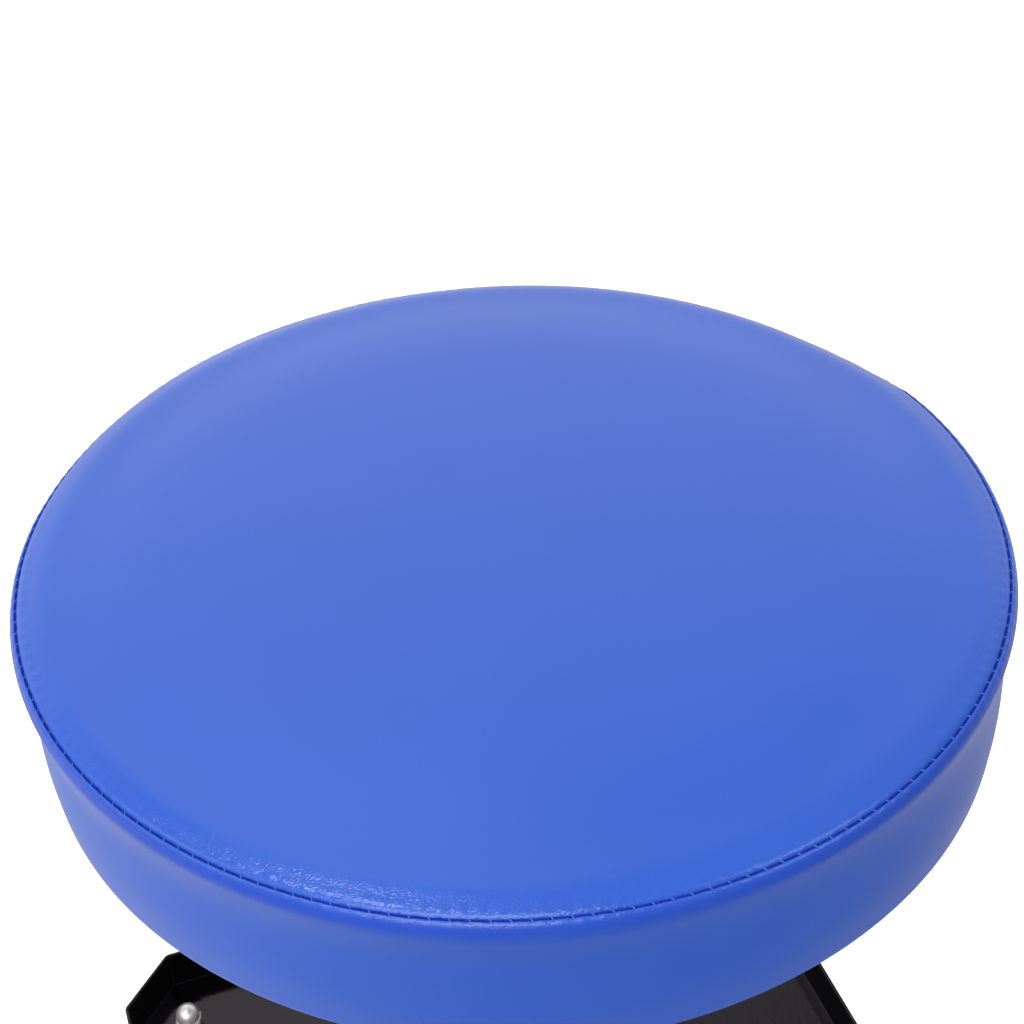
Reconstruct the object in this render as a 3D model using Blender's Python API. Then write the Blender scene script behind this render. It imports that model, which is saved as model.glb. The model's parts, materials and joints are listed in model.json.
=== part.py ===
"""Pneumatic garage stool: a round sewn seat on a gas spring, over a tool tray on four swivel casters.

Metres, +Z up. The origin is on the floor under the middle of the column.
The gas spring is drawn fully extended.
"""

import math

import bmesh
import bpy
from mathutils import Matrix, Vector

# Driving dimensions, in metres.
GAP = 0.0003                 # between pieces that seat on each other
RUN_GAP = 0.0004             # round pieces that turn or slide in one another
TRAVEL_GAP = 0.0008          # left at the lower end of the lift
EDGE = 0.001                 # broken edges
OVERRUN = 0.010              # drills pass this far through a sheet

SEAT_RADIUS = 0.177          # at the seam
SEAT_BAND_RADIUS = 0.1747    # side of the cushion, drawn in under the seam
SEAT_BAND_HEIGHT = 0.0605    # seam down to the underside
SEAT_CROWN = 0.0055          # top of the cushion above the seam
SEAT_EDGE_ROUND = 0.005      # lower edge of the cushion
SEAM_DEPTH = 0.0012
SEAM_INSET = 0.003           # seam line in from the widest point
SEAM_SHOULDER = 0.0035       # the top panel turns down this far inside the seam
SEAM_LIP = 0.0008            # the band's folded edge, in from the widest point
RIM_BELOW_SEAM = 0.004       # widest point
RIM_FALL = 0.010             # the band is drawn in from here down
RIM_FLARE = 0.0006           # its radius there over the band's
CROWN_FLAT = 0.45            # flat middle of the crown, as a share of the seam's radius
COVER_THICKNESS = 0.0012
HEM_RADIUS = 0.128           # inner edge of the cover turned under the board
BOARD_THICKNESS = 0.012
BOARD_CHAMFER = 0.003
SEAM_ABOVE_TRAY = 0.379      # seam above the tray's rim with the spring extended

PLATE_LENGTH = 0.180
PLATE_WIDTH = 0.140
PLATE_FLANGE = 0.010         # full depth of its turned-down edge
PLATE_CORNER = 0.016
SHEET = 0.0025               # sheet of the seat plate and the mechanism housing
BOLT_SPACING_X = 0.150
BOLT_SPACING_Y = 0.110
BOLT_RADIUS = 0.003          # M6
BOLT_HEAD_FLATS = 0.010
BOLT_HEAD_HEIGHT = 0.004
TEE_NUT_RADIUS = 0.0042
TEE_FLANGE_RADIUS = 0.0095
TEE_FLANGE_THICKNESS = 0.0012
TEE_NUT_LENGTH = 0.0095

HOUSING_WIDTH = 0.062
HOUSING_DEPTH = 0.040
HOUSING_BACK = 0.044         # reach behind the column
HOUSING_FRONT = 0.062        # reach towards the lever
HOUSING_BEND = 0.005
COLLAR_WALL = 0.0035
COLLAR_LENGTH = 0.026
COLLAR_BELOW_HOUSING = 0.012

TUBE_RADIUS = 0.014          # sliding pressure tube
TUBE_WALL = 0.002
TUBE_TOP_WALL = 0.006
TUBE_TAPER = 0.0007          # radius lost over the collar
TUBE_ABOVE_HOUSING = 0.016   # tube's top above the housing's floor
BUTTON_RADIUS = 0.0048
BUTTON_RISE = 0.007
BUTTON_FLANGE = 0.0022
BUTTON_STEM = 0.009          # below the tube's top wall
STROKE = 0.100
LIFT_LIMIT_GAP = 0.003       # collar over the column at the bottom of the stroke

COLUMN_RADIUS = 0.025
COLUMN_WALL = 0.002
COLUMN_FLOOR = 0.003
COLUMN_TAPER = 0.0014        # radius lost inside the hub
BUSH_LENGTH = 0.070
BUSH_FLANGE = 0.0025
ROD_RADIUS = 0.005
ROD_NECK_RADIUS = 0.004      # below the shoulder that sits on the bearing
ROD_GROOVE_DEPTH = 0.0008
ROD_END = 0.003              # below the clip
PISTON_LENGTH = 0.012
PISTON_GROOVE = 0.0015
GUIDE_LENGTH = 0.008
TUBE_LIP = 0.002
WASHER_RADIUS = 0.013
WASHER_THICKNESS = 0.002
BALL_RADIUS = 0.0025
BALL_COUNT = 7
CAGE_THICKNESS = 0.002
BUMP_RADIUS = 0.012
BUMP_LENGTH = 0.008
CLIP_THICKNESS = 0.0014
CLIP_RADIUS = 0.0075

LEVER_RADIUS = 0.004
LEVER_PIVOT = 0.030          # pivot out from the column's axis
LEVER_REACH = 0.165          # end of the grip
LEVER_DROP = 0.024           # grip below the pivot
LEVER_PAST_BUTTON = 0.004
LEVER_BOSS_RADIUS = 0.0072
LEVER_BOSS_LENGTH = 0.024
PIVOT_RADIUS = 0.003
PIVOT_HEAD = 0.0022
PIVOT_HEAD_RADIUS = 0.005
GRIP_RADIUS = 0.0075
GRIP_LENGTH = 0.062

TRAY_HALF = 0.176
TRAY_CLIP = 0.038            # length of each cut corner
TRAY_WALL = 0.024            # inside depth
TRAY_SHEET = 0.0015
TRAY_BEND = 0.004
TRAY_CORNER = 0.004
HUB_WALL = 0.0045
HUB_BELOW_ARM = 0.006
HUB_ABOVE_TRAY = 0.014
COLUMN_BELOW_HUB = 0.004
ARM_WIDTH = 0.030
ARM_HEIGHT = 0.020
ARM_WALL = 0.0016
ARM_CORNER = 0.003
ARM_PAST_CASTER = 0.018

CASTER_FROM_CLIP = 0.024     # stem in from the cut corner
CASTER_TWIST = 25.0          # degrees, each wheel's heading away from straight out
CASTER_TRAIL = 0.022
WHEEL_RADIUS = 0.025
WHEEL_WIDTH = 0.020
WHEEL_HUB_RADIUS = 0.008
WHEEL_HUB_WIDTH = 0.021
WHEEL_WEB = 0.008
WHEEL_RIM = 0.006
WHEEL_EDGE = 0.003
AXLE_RADIUS = 0.003
AXLE_HEAD_RADIUS = 0.0055
AXLE_HEAD = 0.0022
FORK_SHEET = 0.0022
FORK_SIDE_GAP = 0.0012
FORK_EYE = 0.0085
CROWN_CLEARANCE = 0.005      # over the wheel
CROWN_RADIUS = 0.017
BALL_TRACK = 0.0035          # height of the ball race between crown and cup
RACE_FOOT = 0.003            # half width of the raised race
CUP_SHEET = 0.0022
CUP_SKIRT = 0.0018
STEM_RADIUS = 0.004          # M8
STEM_HEAD_RADIUS = 0.008
STEM_HEAD = 0.0025
STEM_PIN_RADIUS = 0.005
NUT_FLATS = 0.013
NUT_HEX = 0.0065
NUT_HEIGHT = 0.015
NUT_DOME_RADIUS = 0.0062
NUT_BORE_DEPTH = 0.011

ROUND_LARGE = 32             # facets round the seat
ROUND = 24                   # facets round the column and the wheels
ROUND_SMALL = 16             # facets round washers, cups and the piston
ROUND_PIN = 12               # facets round pins, bolts and nuts

# Heights, stacked up from the floor.
crown_bottom = 2 * WHEEL_RADIUS + CROWN_CLEARANCE
crown_top = crown_bottom + FORK_SHEET
cup_bottom = crown_top + BALL_TRACK
cup_top = cup_bottom + CUP_SHEET
arm_bottom = cup_top + GAP
arm_top = arm_bottom + ARM_HEIGHT
tray_bottom = arm_top + GAP
tray_floor = tray_bottom + TRAY_SHEET
tray_rim = tray_floor + TRAY_WALL
hub_bottom = arm_bottom - HUB_BELOW_ARM
hub_top = tray_floor + HUB_ABOVE_TRAY
column_bottom = hub_bottom - COLUMN_BELOW_HUB
seam_height = tray_rim + SEAM_ABOVE_TRAY
seat_bottom = seam_height - SEAT_BAND_HEIGHT
board_bottom = seat_bottom + COVER_THICKNESS + GAP
board_top = board_bottom + BOARD_THICKNESS
plate_top = board_bottom - GAP
plate_bottom = plate_top - SHEET
housing_top = plate_bottom - GAP
housing_bottom = housing_top - HOUSING_DEPTH
housing_floor = housing_bottom + SHEET
collar_bottom = housing_bottom - COLLAR_BELOW_HOUSING
collar_top = collar_bottom + COLLAR_LENGTH
tube_top = housing_floor + TUBE_ABOVE_HOUSING
button_top = tube_top + BUTTON_RISE
lever_height = button_top + GAP + LEVER_RADIUS
bush_top = collar_bottom - STROKE - LIFT_LIMIT_GAP
column_top = bush_top - BUSH_FLANGE - GAP
lower_washer = column_bottom + COLUMN_FLOOR + GAP
bearing_bottom = lower_washer + WASHER_THICKNESS + GAP
bearing_top = bearing_bottom + 2 * BALL_RADIUS
upper_washer = bearing_top + GAP
rod_shoulder = upper_washer + WASHER_THICKNESS + GAP
bump_top = rod_shoulder + BUMP_LENGTH
tube_bottom = bump_top + STROKE + TRAVEL_GAP
guide_bottom = tube_bottom + TUBE_LIP + GAP
guide_top = guide_bottom + GUIDE_LENGTH
piston_bottom = guide_top + GAP
piston_top = piston_bottom + PISTON_LENGTH
clip_top = column_bottom - GAP
rod_bottom = clip_top - CLIP_THICKNESS - GAP - ROD_END

# Radii and reaches that follow from the driving dimensions.
tube_bore = TUBE_RADIUS - TUBE_WALL
column_bore = COLUMN_RADIUS - COLUMN_WALL
hub_radius = COLUMN_RADIUS + GAP + HUB_WALL
cup_radius = CROWN_RADIUS + RUN_GAP + CUP_SKIRT
clip_distance = TRAY_HALF * math.sqrt(2) - TRAY_CLIP / 2
caster_radius = clip_distance - CASTER_FROM_CLIP
arm_end = caster_radius + ARM_PAST_CASTER
fork_inside = max(WHEEL_WIDTH, WHEEL_HUB_WIDTH) / 2 + FORK_SIDE_GAP
fork_outside = fork_inside + FORK_SHEET


def material(name, colour, roughness, metallic=0.0):
    """A Principled material."""
    made = bpy.data.materials.new(name)
    made.use_nodes = True
    shader = made.node_tree.nodes["Principled BSDF"]
    shader.inputs["Base Color"].default_value = (*colour, 1.0)
    shader.inputs["Roughness"].default_value = roughness
    shader.inputs["Metallic"].default_value = metallic
    made.diffuse_color = (*colour, 1.0)
    return made


def clear_scene():
    for old in list(bpy.data.objects):
        bpy.data.objects.remove(old)


def add(name, mesh, finish, parent=None, location=(0, 0, 0), rotation=(0, 0, 0)):
    """A named object of this mesh and material, placed under its parent."""
    made = bpy.data.objects.new(name, mesh)
    bpy.context.scene.collection.objects.link(made)
    made.parent = parent
    made.location = location
    made.rotation_euler = rotation
    if not mesh.materials:
        mesh.materials.append(finish)
    return made


def pivot(name, parent=None, location=(0, 0, 0), rotation=(0, 0, 0)):
    """An empty on a joint's axis, which carries the pieces that move together."""
    made = bpy.data.objects.new(name, None)
    bpy.context.scene.collection.objects.link(made)
    made.parent = parent
    made.location = location
    made.rotation_euler = rotation
    return made


def to_mesh(bm, name, smooth_angle=35.0):
    """A closed mesh with its faces pointing out, shaded smooth across shallow edges."""
    bmesh.ops.remove_doubles(bm, verts=bm.verts, dist=1e-6)
    bmesh.ops.recalc_face_normals(bm, faces=bm.faces)
    mesh = bpy.data.meshes.new(name)
    bm.to_mesh(mesh)
    bm.free()
    mesh.shade_smooth()
    mesh.set_sharp_from_angle(angle=math.radians(smooth_angle))
    return mesh


def turned(name, profile, segments=ROUND):
    """A closed outline of (radius, height) points spun about Z."""
    bm = bmesh.new()
    points = [bm.verts.new((radius, 0.0, height)) for radius, height in profile]
    edges = []
    for a, b in zip(points, points[1:] + points[:1]):
        if a.co.x > 1e-9 or b.co.x > 1e-9:
            edges.append(bm.edges.new((a, b)))
    bmesh.ops.spin(bm, geom=points + edges, cent=(0, 0, 0), axis=(0, 0, 1), angle=2 * math.pi,
                   steps=segments, use_merge=True)
    return to_mesh(bm, name)


def lofted(name, rings):
    """A skin over rings of equal point counts, with a flat cap on the first and the last."""
    bm = bmesh.new()
    loops = [[bm.verts.new(point) for point in ring] for ring in rings]
    for lower, upper in zip(loops, loops[1:]):
        for i, point in enumerate(lower):
            j = (i + 1) % len(lower)
            bm.faces.new((point, lower[j], upper[j], upper[i]))
    bm.faces.new(loops[0])
    bm.faces.new(loops[-1])
    return to_mesh(bm, name)


def extruded(name, outline, depth):
    """A flat outline in XY, raised by depth along Z."""
    bm = bmesh.new()
    face = bm.faces.new([bm.verts.new((x, y, 0.0)) for x, y in outline])
    raised = bmesh.ops.extrude_face_region(bm, geom=[face])
    moved = [item for item in raised["geom"] if isinstance(item, bmesh.types.BMVert)]
    bmesh.ops.translate(bm, verts=moved, vec=(0, 0, depth))
    return to_mesh(bm, name)


def moved(mesh, matrix):
    mesh.transform(matrix)
    return mesh


def rod_mesh(name, radius, start, end, segments=ROUND_PIN):
    """A plain round bar between two points, used on its own and as a drill."""
    start, end = Vector(start), Vector(end)
    length = (end - start).length
    bar = turned(name, [(0, 0), (radius, 0), (radius, length), (0, length)], segments)
    turn = (end - start).to_track_quat("Z", "Y").to_matrix().to_4x4()
    return moved(bar, Matrix.Translation(start) @ turn)


def combined(mesh, steps):
    """The mesh after a list of (operation, other mesh) Booleans."""
    scene = bpy.context.scene.collection.objects
    body = bpy.data.objects.new(mesh.name, mesh)
    scene.link(body)
    tools = []
    for operation, other in steps:
        tool = bpy.data.objects.new("tool", other)
        scene.link(tool)
        tools.append(tool)
        step = body.modifiers.new(operation, "BOOLEAN")
        step.operation = operation
        step.solver = "EXACT"
        step.object = tool
    graph = bpy.context.evaluated_depsgraph_get()
    made = bpy.data.meshes.new_from_object(body.evaluated_get(graph))
    for used in [body, *tools]:
        bpy.data.objects.remove(used)
    made.materials.clear()
    bm = bmesh.new()
    bm.from_mesh(made)
    bmesh.ops.dissolve_limit(bm, angle_limit=math.radians(0.2), verts=bm.verts, edges=bm.edges)
    bmesh.ops.triangulate(bm, faces=[face for face in bm.faces if len(face.verts) > 4])
    return to_mesh(bm, mesh.name)


def cut(mesh, *tools):
    return combined(mesh, [("DIFFERENCE", tool) for tool in tools])


def joined(mesh, *others):
    return combined(mesh, [("UNION", other) for other in others])


def arc(centre, radius, start, end, steps):
    """Points round part of a circle, angles in degrees."""
    angles = [math.radians(start + (end - start) * i / steps) for i in range(steps + 1)]
    return [(centre[0] + radius * math.cos(a), centre[1] + radius * math.sin(a)) for a in angles]


def circle(radius, height, count, turn=0.0):
    angles = [2 * math.pi * i / count + turn for i in range(count)]
    return [(radius * math.cos(a), radius * math.sin(a), height) for a in angles]


def hexagon(flats, height, count):
    """A hexagon of this width across flats, with count points spread round it."""
    ring = []
    for x, y, z in circle(1.0, height, count):
        angle = math.atan2(y, x)
        off_middle = (angle + math.pi / 6) % (math.pi / 3) - math.pi / 6
        reach = flats / 2 / math.cos(off_middle)
        ring.append((x * reach, y * reach, z))
    return ring


def rounded(corners, radius, steps=2):
    """A convex outline with each corner rounded. Corners run anticlockwise."""
    points = []
    for i, corner in enumerate(corners):
        here = Vector(corner)
        back = (Vector(corners[i - 1]) - here).normalized()
        on = (Vector(corners[(i + 1) % len(corners)]) - here).normalized()
        half = math.acos(max(-1.0, min(1.0, back.dot(on)))) / 2
        centre = here + (back + on).normalized() * (radius / math.sin(half))
        first = here + back * (radius / math.tan(half)) - centre
        last = here + on * (radius / math.tan(half)) - centre
        sweep = math.atan2(first.x * last.y - first.y * last.x, first.dot(last))
        for k in range(steps + 1):
            turn = Matrix.Rotation(sweep * k / steps, 2)
            points.append(tuple(centre + turn @ first))
    return points


def clipped_square(inset):
    """The tray's outline drawn in by inset: a square with its corners cut at 45 degrees."""
    half = TRAY_HALF - inset
    clip = TRAY_CLIP - 2 * inset * (math.sqrt(2) - 1)
    short = half - clip / math.sqrt(2)
    right = [(half, -short), (half, short)]
    corners = []
    for quarter in range(4):
        turn = Matrix.Rotation(quarter * math.pi / 2, 2)
        corners += [tuple(turn @ Vector(point)) for point in right]
    return rounded(corners, max(TRAY_CORNER - inset, EDGE))


def rectangle(half_x, half_y, corner, inset):
    corners = [(half_x - inset, inset - half_y), (half_x - inset, half_y - inset)]
    corners += [(-x, -y) for x, y in corners]
    return rounded(corners, max(corner - inset, EDGE))


def pan(name, outline, depth, sheet, bend):
    """A pressed sheet pan, open upwards from Z 0. outline(inset) gives its plan."""
    inner = bend - sheet
    angles = (0.0, math.pi / 4, math.pi / 2)
    section = [(bend - bend * math.sin(a), bend - bend * math.cos(a)) for a in angles]
    section += [(0.0, depth), (sheet, depth)]
    section += [(bend - inner * math.sin(a), bend - inner * math.cos(a)) for a in reversed(angles)]
    return lofted(name, [[(x, y, height) for x, y in outline(inset)] for inset, height in section])


def seat_outline(inset):
    """Half of the cushion's section, from the crown's middle round to the hem, drawn in by inset."""
    seam = SEAT_RADIUS - SEAM_INSET
    shoulder = SEAT_BAND_RADIUS - SEAT_EDGE_ROUND
    points = [
        (0.0, SEAT_CROWN),
        (seam * CROWN_FLAT, SEAT_CROWN),
        (seam * 0.80, SEAT_CROWN * 0.86),
        (seam * 0.93, SEAT_CROWN * 0.66),
        (seam - SEAM_SHOULDER, SEAT_CROWN * 0.30),
        (seam, -SEAM_DEPTH),
        (SEAT_RADIUS - SEAM_LIP, -SEAM_DEPTH),
        (SEAT_RADIUS, -RIM_BELOW_SEAM),
        (SEAT_BAND_RADIUS + RIM_FLARE, -RIM_FALL),
        (SEAT_BAND_RADIUS, -SEAT_BAND_HEIGHT * 0.42),
    ]
    lower = arc((shoulder, SEAT_EDGE_ROUND - SEAT_BAND_HEIGHT), SEAT_EDGE_ROUND, 0, -90, 3)
    points += lower
    inside = []
    for i, (radius, height) in enumerate(points):
        before, after = points[max(i - 1, 0)], points[min(i + 1, len(points) - 1)]
        along = Vector((after[0] - before[0], after[1] - before[1])).normalized()
        if i == 0:
            along = Vector((1.0, 0.0))
        if i == len(points) - 1:
            along = Vector((-1.0, 0.0))
        inside.append((radius + along.y * inset, height - along.x * inset))
    return [(max(radius, 0.0), seam_height + height) for radius, height in inside]


def make_seat(seat, finish):
    """The cushion: sewn cover, foam, plywood board and the tee nuts driven into it."""
    outer = seat_outline(0.0)
    inner = seat_outline(COVER_THICKNESS)
    hem = [(HEM_RADIUS, seat_bottom), (HEM_RADIUS, seat_bottom + COVER_THICKNESS)]
    cover = turned("seat_cover", outer + hem + inner[::-1], ROUND_LARGE)
    add("seat_cover", cover, finish["vinyl"], seat)

    foam_bottom = board_top + GAP
    crust = [point for point in seat_outline(COVER_THICKNESS + GAP) if point[1] > foam_bottom + GAP]
    edge = crust[-1][0]
    foam = turned("foam_pad", [*crust, (edge, foam_bottom), (0.0, foam_bottom)], ROUND_LARGE)
    add("foam_pad", foam, finish["foam"], seat)

    edge = SEAT_BAND_RADIUS - COVER_THICKNESS - 3 * GAP
    foot = edge - max(BOARD_CHAMFER, SEAT_EDGE_ROUND - COVER_THICKNESS)
    shoulder = board_bottom + max(BOARD_CHAMFER, SEAT_EDGE_ROUND - COVER_THICKNESS)
    blank = [(0.0, board_bottom), (foot, board_bottom), (edge, shoulder), (edge, board_top),
             (0.0, board_top)]
    seat_flange = board_top - TEE_FLANGE_THICKNESS - 2 * GAP
    drills = []
    for x, y in bolt_places():
        drills.append(rod_mesh("drill", TEE_NUT_RADIUS + GAP, (x, y, board_bottom - OVERRUN),
                               (x, y, board_top + OVERRUN)))
        drills.append(rod_mesh("drill", TEE_FLANGE_RADIUS + GAP, (x, y, seat_flange),
                               (x, y, board_top + OVERRUN)))
    add("seat_board", cut(turned("seat_board", blank, ROUND_LARGE), *drills), finish["plywood"], seat)

    rim = seat_flange + GAP
    bore = BOLT_RADIUS + GAP
    foot = rim - TEE_NUT_LENGTH
    top = rim + TEE_FLANGE_THICKNESS
    section = [(bore, foot), (TEE_NUT_RADIUS, foot), (TEE_NUT_RADIUS, rim), (TEE_FLANGE_RADIUS, rim),
               (TEE_FLANGE_RADIUS, top), (bore, top)]
    nut = turned("tee_nut", section, ROUND_PIN)
    for number, (x, y) in enumerate(bolt_places(), 1):
        add(f"tee_nut_{number}", nut, finish["zinc"], seat, (x, y, 0))


def bolt_places():
    corners = ((1, 1), (-1, 1), (-1, -1), (1, -1))
    return [(sx * BOLT_SPACING_X / 2, sy * BOLT_SPACING_Y / 2) for sx, sy in corners]


def make_mechanism(seat, finish):
    """The plate under the board, the lever housing welded to it and the collar for the spring."""
    plan = pan("seat_plate",
               lambda inset: rectangle(PLATE_LENGTH / 2, PLATE_WIDTH / 2, PLATE_CORNER, inset),
               PLATE_FLANGE, SHEET, 2 * SHEET)
    plate = moved(plan, Matrix.Translation((0, 0, plate_top)) @ Matrix.Rotation(math.pi, 4, "X"))
    drills = [rod_mesh("drill", BOLT_RADIUS + GAP, (x, y, plate_bottom - OVERRUN),
                       (x, y, plate_top + OVERRUN)) for x, y in bolt_places()]
    add("seat_plate", cut(plate, *drills), finish["black_steel"], seat)

    half, bend = HOUSING_WIDTH / 2, HOUSING_BEND
    outside = [(-half, HOUSING_DEPTH)] + arc((bend - half, bend), bend, 180, 270, 2)
    outside += arc((half - bend, bend), bend, 270, 360, 2) + [(half, HOUSING_DEPTH)]
    thin = bend - SHEET
    inside = [(half - SHEET, HOUSING_DEPTH)] + arc((half - bend, bend), thin, 360, 270, 2)
    inside += arc((bend - half, bend), thin, 270, 180, 2) + [(SHEET - half, HOUSING_DEPTH)]
    channel = extruded("mechanism_housing", outside + inside, HOUSING_BACK + HOUSING_FRONT)
    stand = Matrix(((0, 0, 1, -HOUSING_BACK), (1, 0, 0, 0), (0, 1, 0, housing_bottom), (0, 0, 0, 1)))
    collar_radius = TUBE_RADIUS + GAP + COLLAR_WALL
    socket = rod_mesh("drill", collar_radius + GAP, (0, 0, housing_bottom - OVERRUN),
                      (0, 0, housing_floor + OVERRUN), ROUND)
    across = rod_mesh("drill", PIVOT_RADIUS + GAP, (LEVER_PIVOT, -HOUSING_WIDTH, lever_height),
                      (LEVER_PIVOT, HOUSING_WIDTH, lever_height))
    add("mechanism_housing", cut(moved(channel, stand), socket, across), finish["black_steel"], seat)

    bore_low, bore_high = TUBE_RADIUS + GAP, TUBE_RADIUS - TUBE_TAPER + GAP
    section = [(bore_low, collar_bottom), (collar_radius, collar_bottom), (collar_radius, collar_top),
               (bore_high, collar_top)]
    add("taper_collar", turned("taper_collar", section), finish["black_steel"], seat)

    shank_top = board_top - TEE_FLANGE_THICKNESS
    head_top = plate_bottom - GAP
    sides = ROUND_PIN
    rings = [hexagon(BOLT_HEAD_FLATS, head_top - BOLT_HEAD_HEIGHT, sides),
             hexagon(BOLT_HEAD_FLATS, head_top, sides)]
    rings += [circle(BOLT_RADIUS, head_top, sides), circle(BOLT_RADIUS, shank_top, sides)]
    bolt = lofted("seat_bolt", rings)
    for number, (x, y) in enumerate(bolt_places(), 1):
        add(f"seat_bolt_{number}", bolt, finish["zinc"], seat, (x, y, 0))


def smooth_route(points, per_span):
    """Points on a smooth curve through a hand-chosen route."""
    ends = [points[0] * 2 - points[1], *points, points[-1] * 2 - points[-2]]
    route = []
    for a, b, c, d in zip(ends, ends[1:], ends[2:], ends[3:]):
        for k in range(per_span):
            t = k / per_span
            route.append(0.5 * (2 * b + (c - a) * t + (2 * a - 5 * b + 4 * c - d) * t**2
                                + (3 * b - a - 3 * c + d) * t**3))
    return [*route, points[-1]]


def make_lever(seat, finish):
    """The bent release lever on its pivot pin, drawn about the pivot."""
    turn = pivot("lever_axis", seat, (LEVER_PIVOT, 0, lever_height))
    straight = LEVER_REACH - LEVER_PIVOT - GRIP_LENGTH
    route = [Vector((-LEVER_PIVOT - LEVER_PAST_BUTTON, 0, 0)), Vector((-0.5 * LEVER_PIVOT, 0, 0)),
             Vector((0, 0, 0)), Vector((0.22 * straight, 0, -0.10 * LEVER_DROP)),
             Vector((0.60 * straight, 0, -0.62 * LEVER_DROP)), Vector((straight, 0, -LEVER_DROP))]
    line = smooth_route(route, 3) + [Vector((straight + GRIP_LENGTH * 0.9, 0, -LEVER_DROP))]
    curve = bpy.data.curves.new("lever_line", "CURVE")
    curve.dimensions = "3D"
    curve.bevel_depth = LEVER_RADIUS
    curve.bevel_resolution = 2
    curve.use_fill_caps = True
    spline = curve.splines.new("POLY")
    spline.points.add(len(line) - 1)
    for point, place in zip(spline.points, line):
        point.co = (*place, 1.0)
    holder = bpy.data.objects.new("lever_line", curve)
    bpy.context.scene.collection.objects.link(holder)
    bpy.context.view_layer.update()
    graph = bpy.context.evaluated_depsgraph_get()
    drawn = bpy.data.meshes.new_from_object(holder.evaluated_get(graph))
    bpy.data.objects.remove(holder)
    bm = bmesh.new()
    bm.from_mesh(drawn)
    bar = to_mesh(bm, "lever_rod")
    half = LEVER_BOSS_LENGTH / 2
    boss = rod_mesh("boss", LEVER_BOSS_RADIUS, (0, -half, 0), (0, half, 0))
    bore = rod_mesh("drill", PIVOT_RADIUS + RUN_GAP, (0, -2 * half, 0), (0, 2 * half, 0))
    add("lever_rod", cut(joined(bar, boss), bore), finish["zinc"], turn)

    length, hole = GRIP_LENGTH, LEVER_RADIUS + GAP
    bottom = length * 0.9 + 2 * GAP
    section = [(hole, 0.0), (GRIP_RADIUS * 0.80, 0.0), (GRIP_RADIUS * 0.92, length * 0.05),
               (GRIP_RADIUS * 0.86, length * 0.35), (GRIP_RADIUS, length * 0.78),
               (GRIP_RADIUS * 0.88, length * 0.94), (GRIP_RADIUS * 0.5, length), (0.0, length),
               (0.0, bottom), (hole, bottom)]
    grip = turned("lever_grip", section, ROUND_PIN)
    add("lever_grip", grip, finish["black_plastic"], turn, (straight, 0, -LEVER_DROP),
        (0, math.pi / 2, 0))

    reach = HOUSING_WIDTH / 2 + GAP
    tail = reach + PIVOT_HEAD
    neck = PIVOT_RADIUS - ROD_GROOVE_DEPTH
    groove_end = reach + CLIP_THICKNESS + 2 * GAP
    tip = groove_end + PIVOT_HEAD
    section = [(0, -tail), (PIVOT_HEAD_RADIUS, -tail), (PIVOT_HEAD_RADIUS, -reach),
               (PIVOT_RADIUS, -reach), (PIVOT_RADIUS, reach), (neck, reach), (neck, groove_end),
               (PIVOT_RADIUS, groove_end), (PIVOT_RADIUS, tip), (0, tip)]
    lay = (-math.pi / 2, 0, 0)
    pin = turned("lever_pivot_pin", section, ROUND_PIN)
    add("lever_pivot_pin", pin, finish["zinc"], seat, (LEVER_PIVOT, 0, lever_height), lay)
    clip = split_ring("lever_pin_clip", neck + GAP, PIVOT_HEAD_RADIUS, CLIP_THICKNESS)
    add("lever_pin_clip", clip, finish["zinc"], seat, (LEVER_PIVOT, reach + GAP, lever_height), lay)


def split_ring(name, inner, outer, thickness):
    """A spring clip: a flat ring with a mouth."""
    mouth = 35
    outline = arc((0, 0), outer, mouth, 360 - mouth, 10) + arc((0, 0), inner, 360 - mouth, mouth, 10)
    return extruded(name, outline, thickness)


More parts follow.
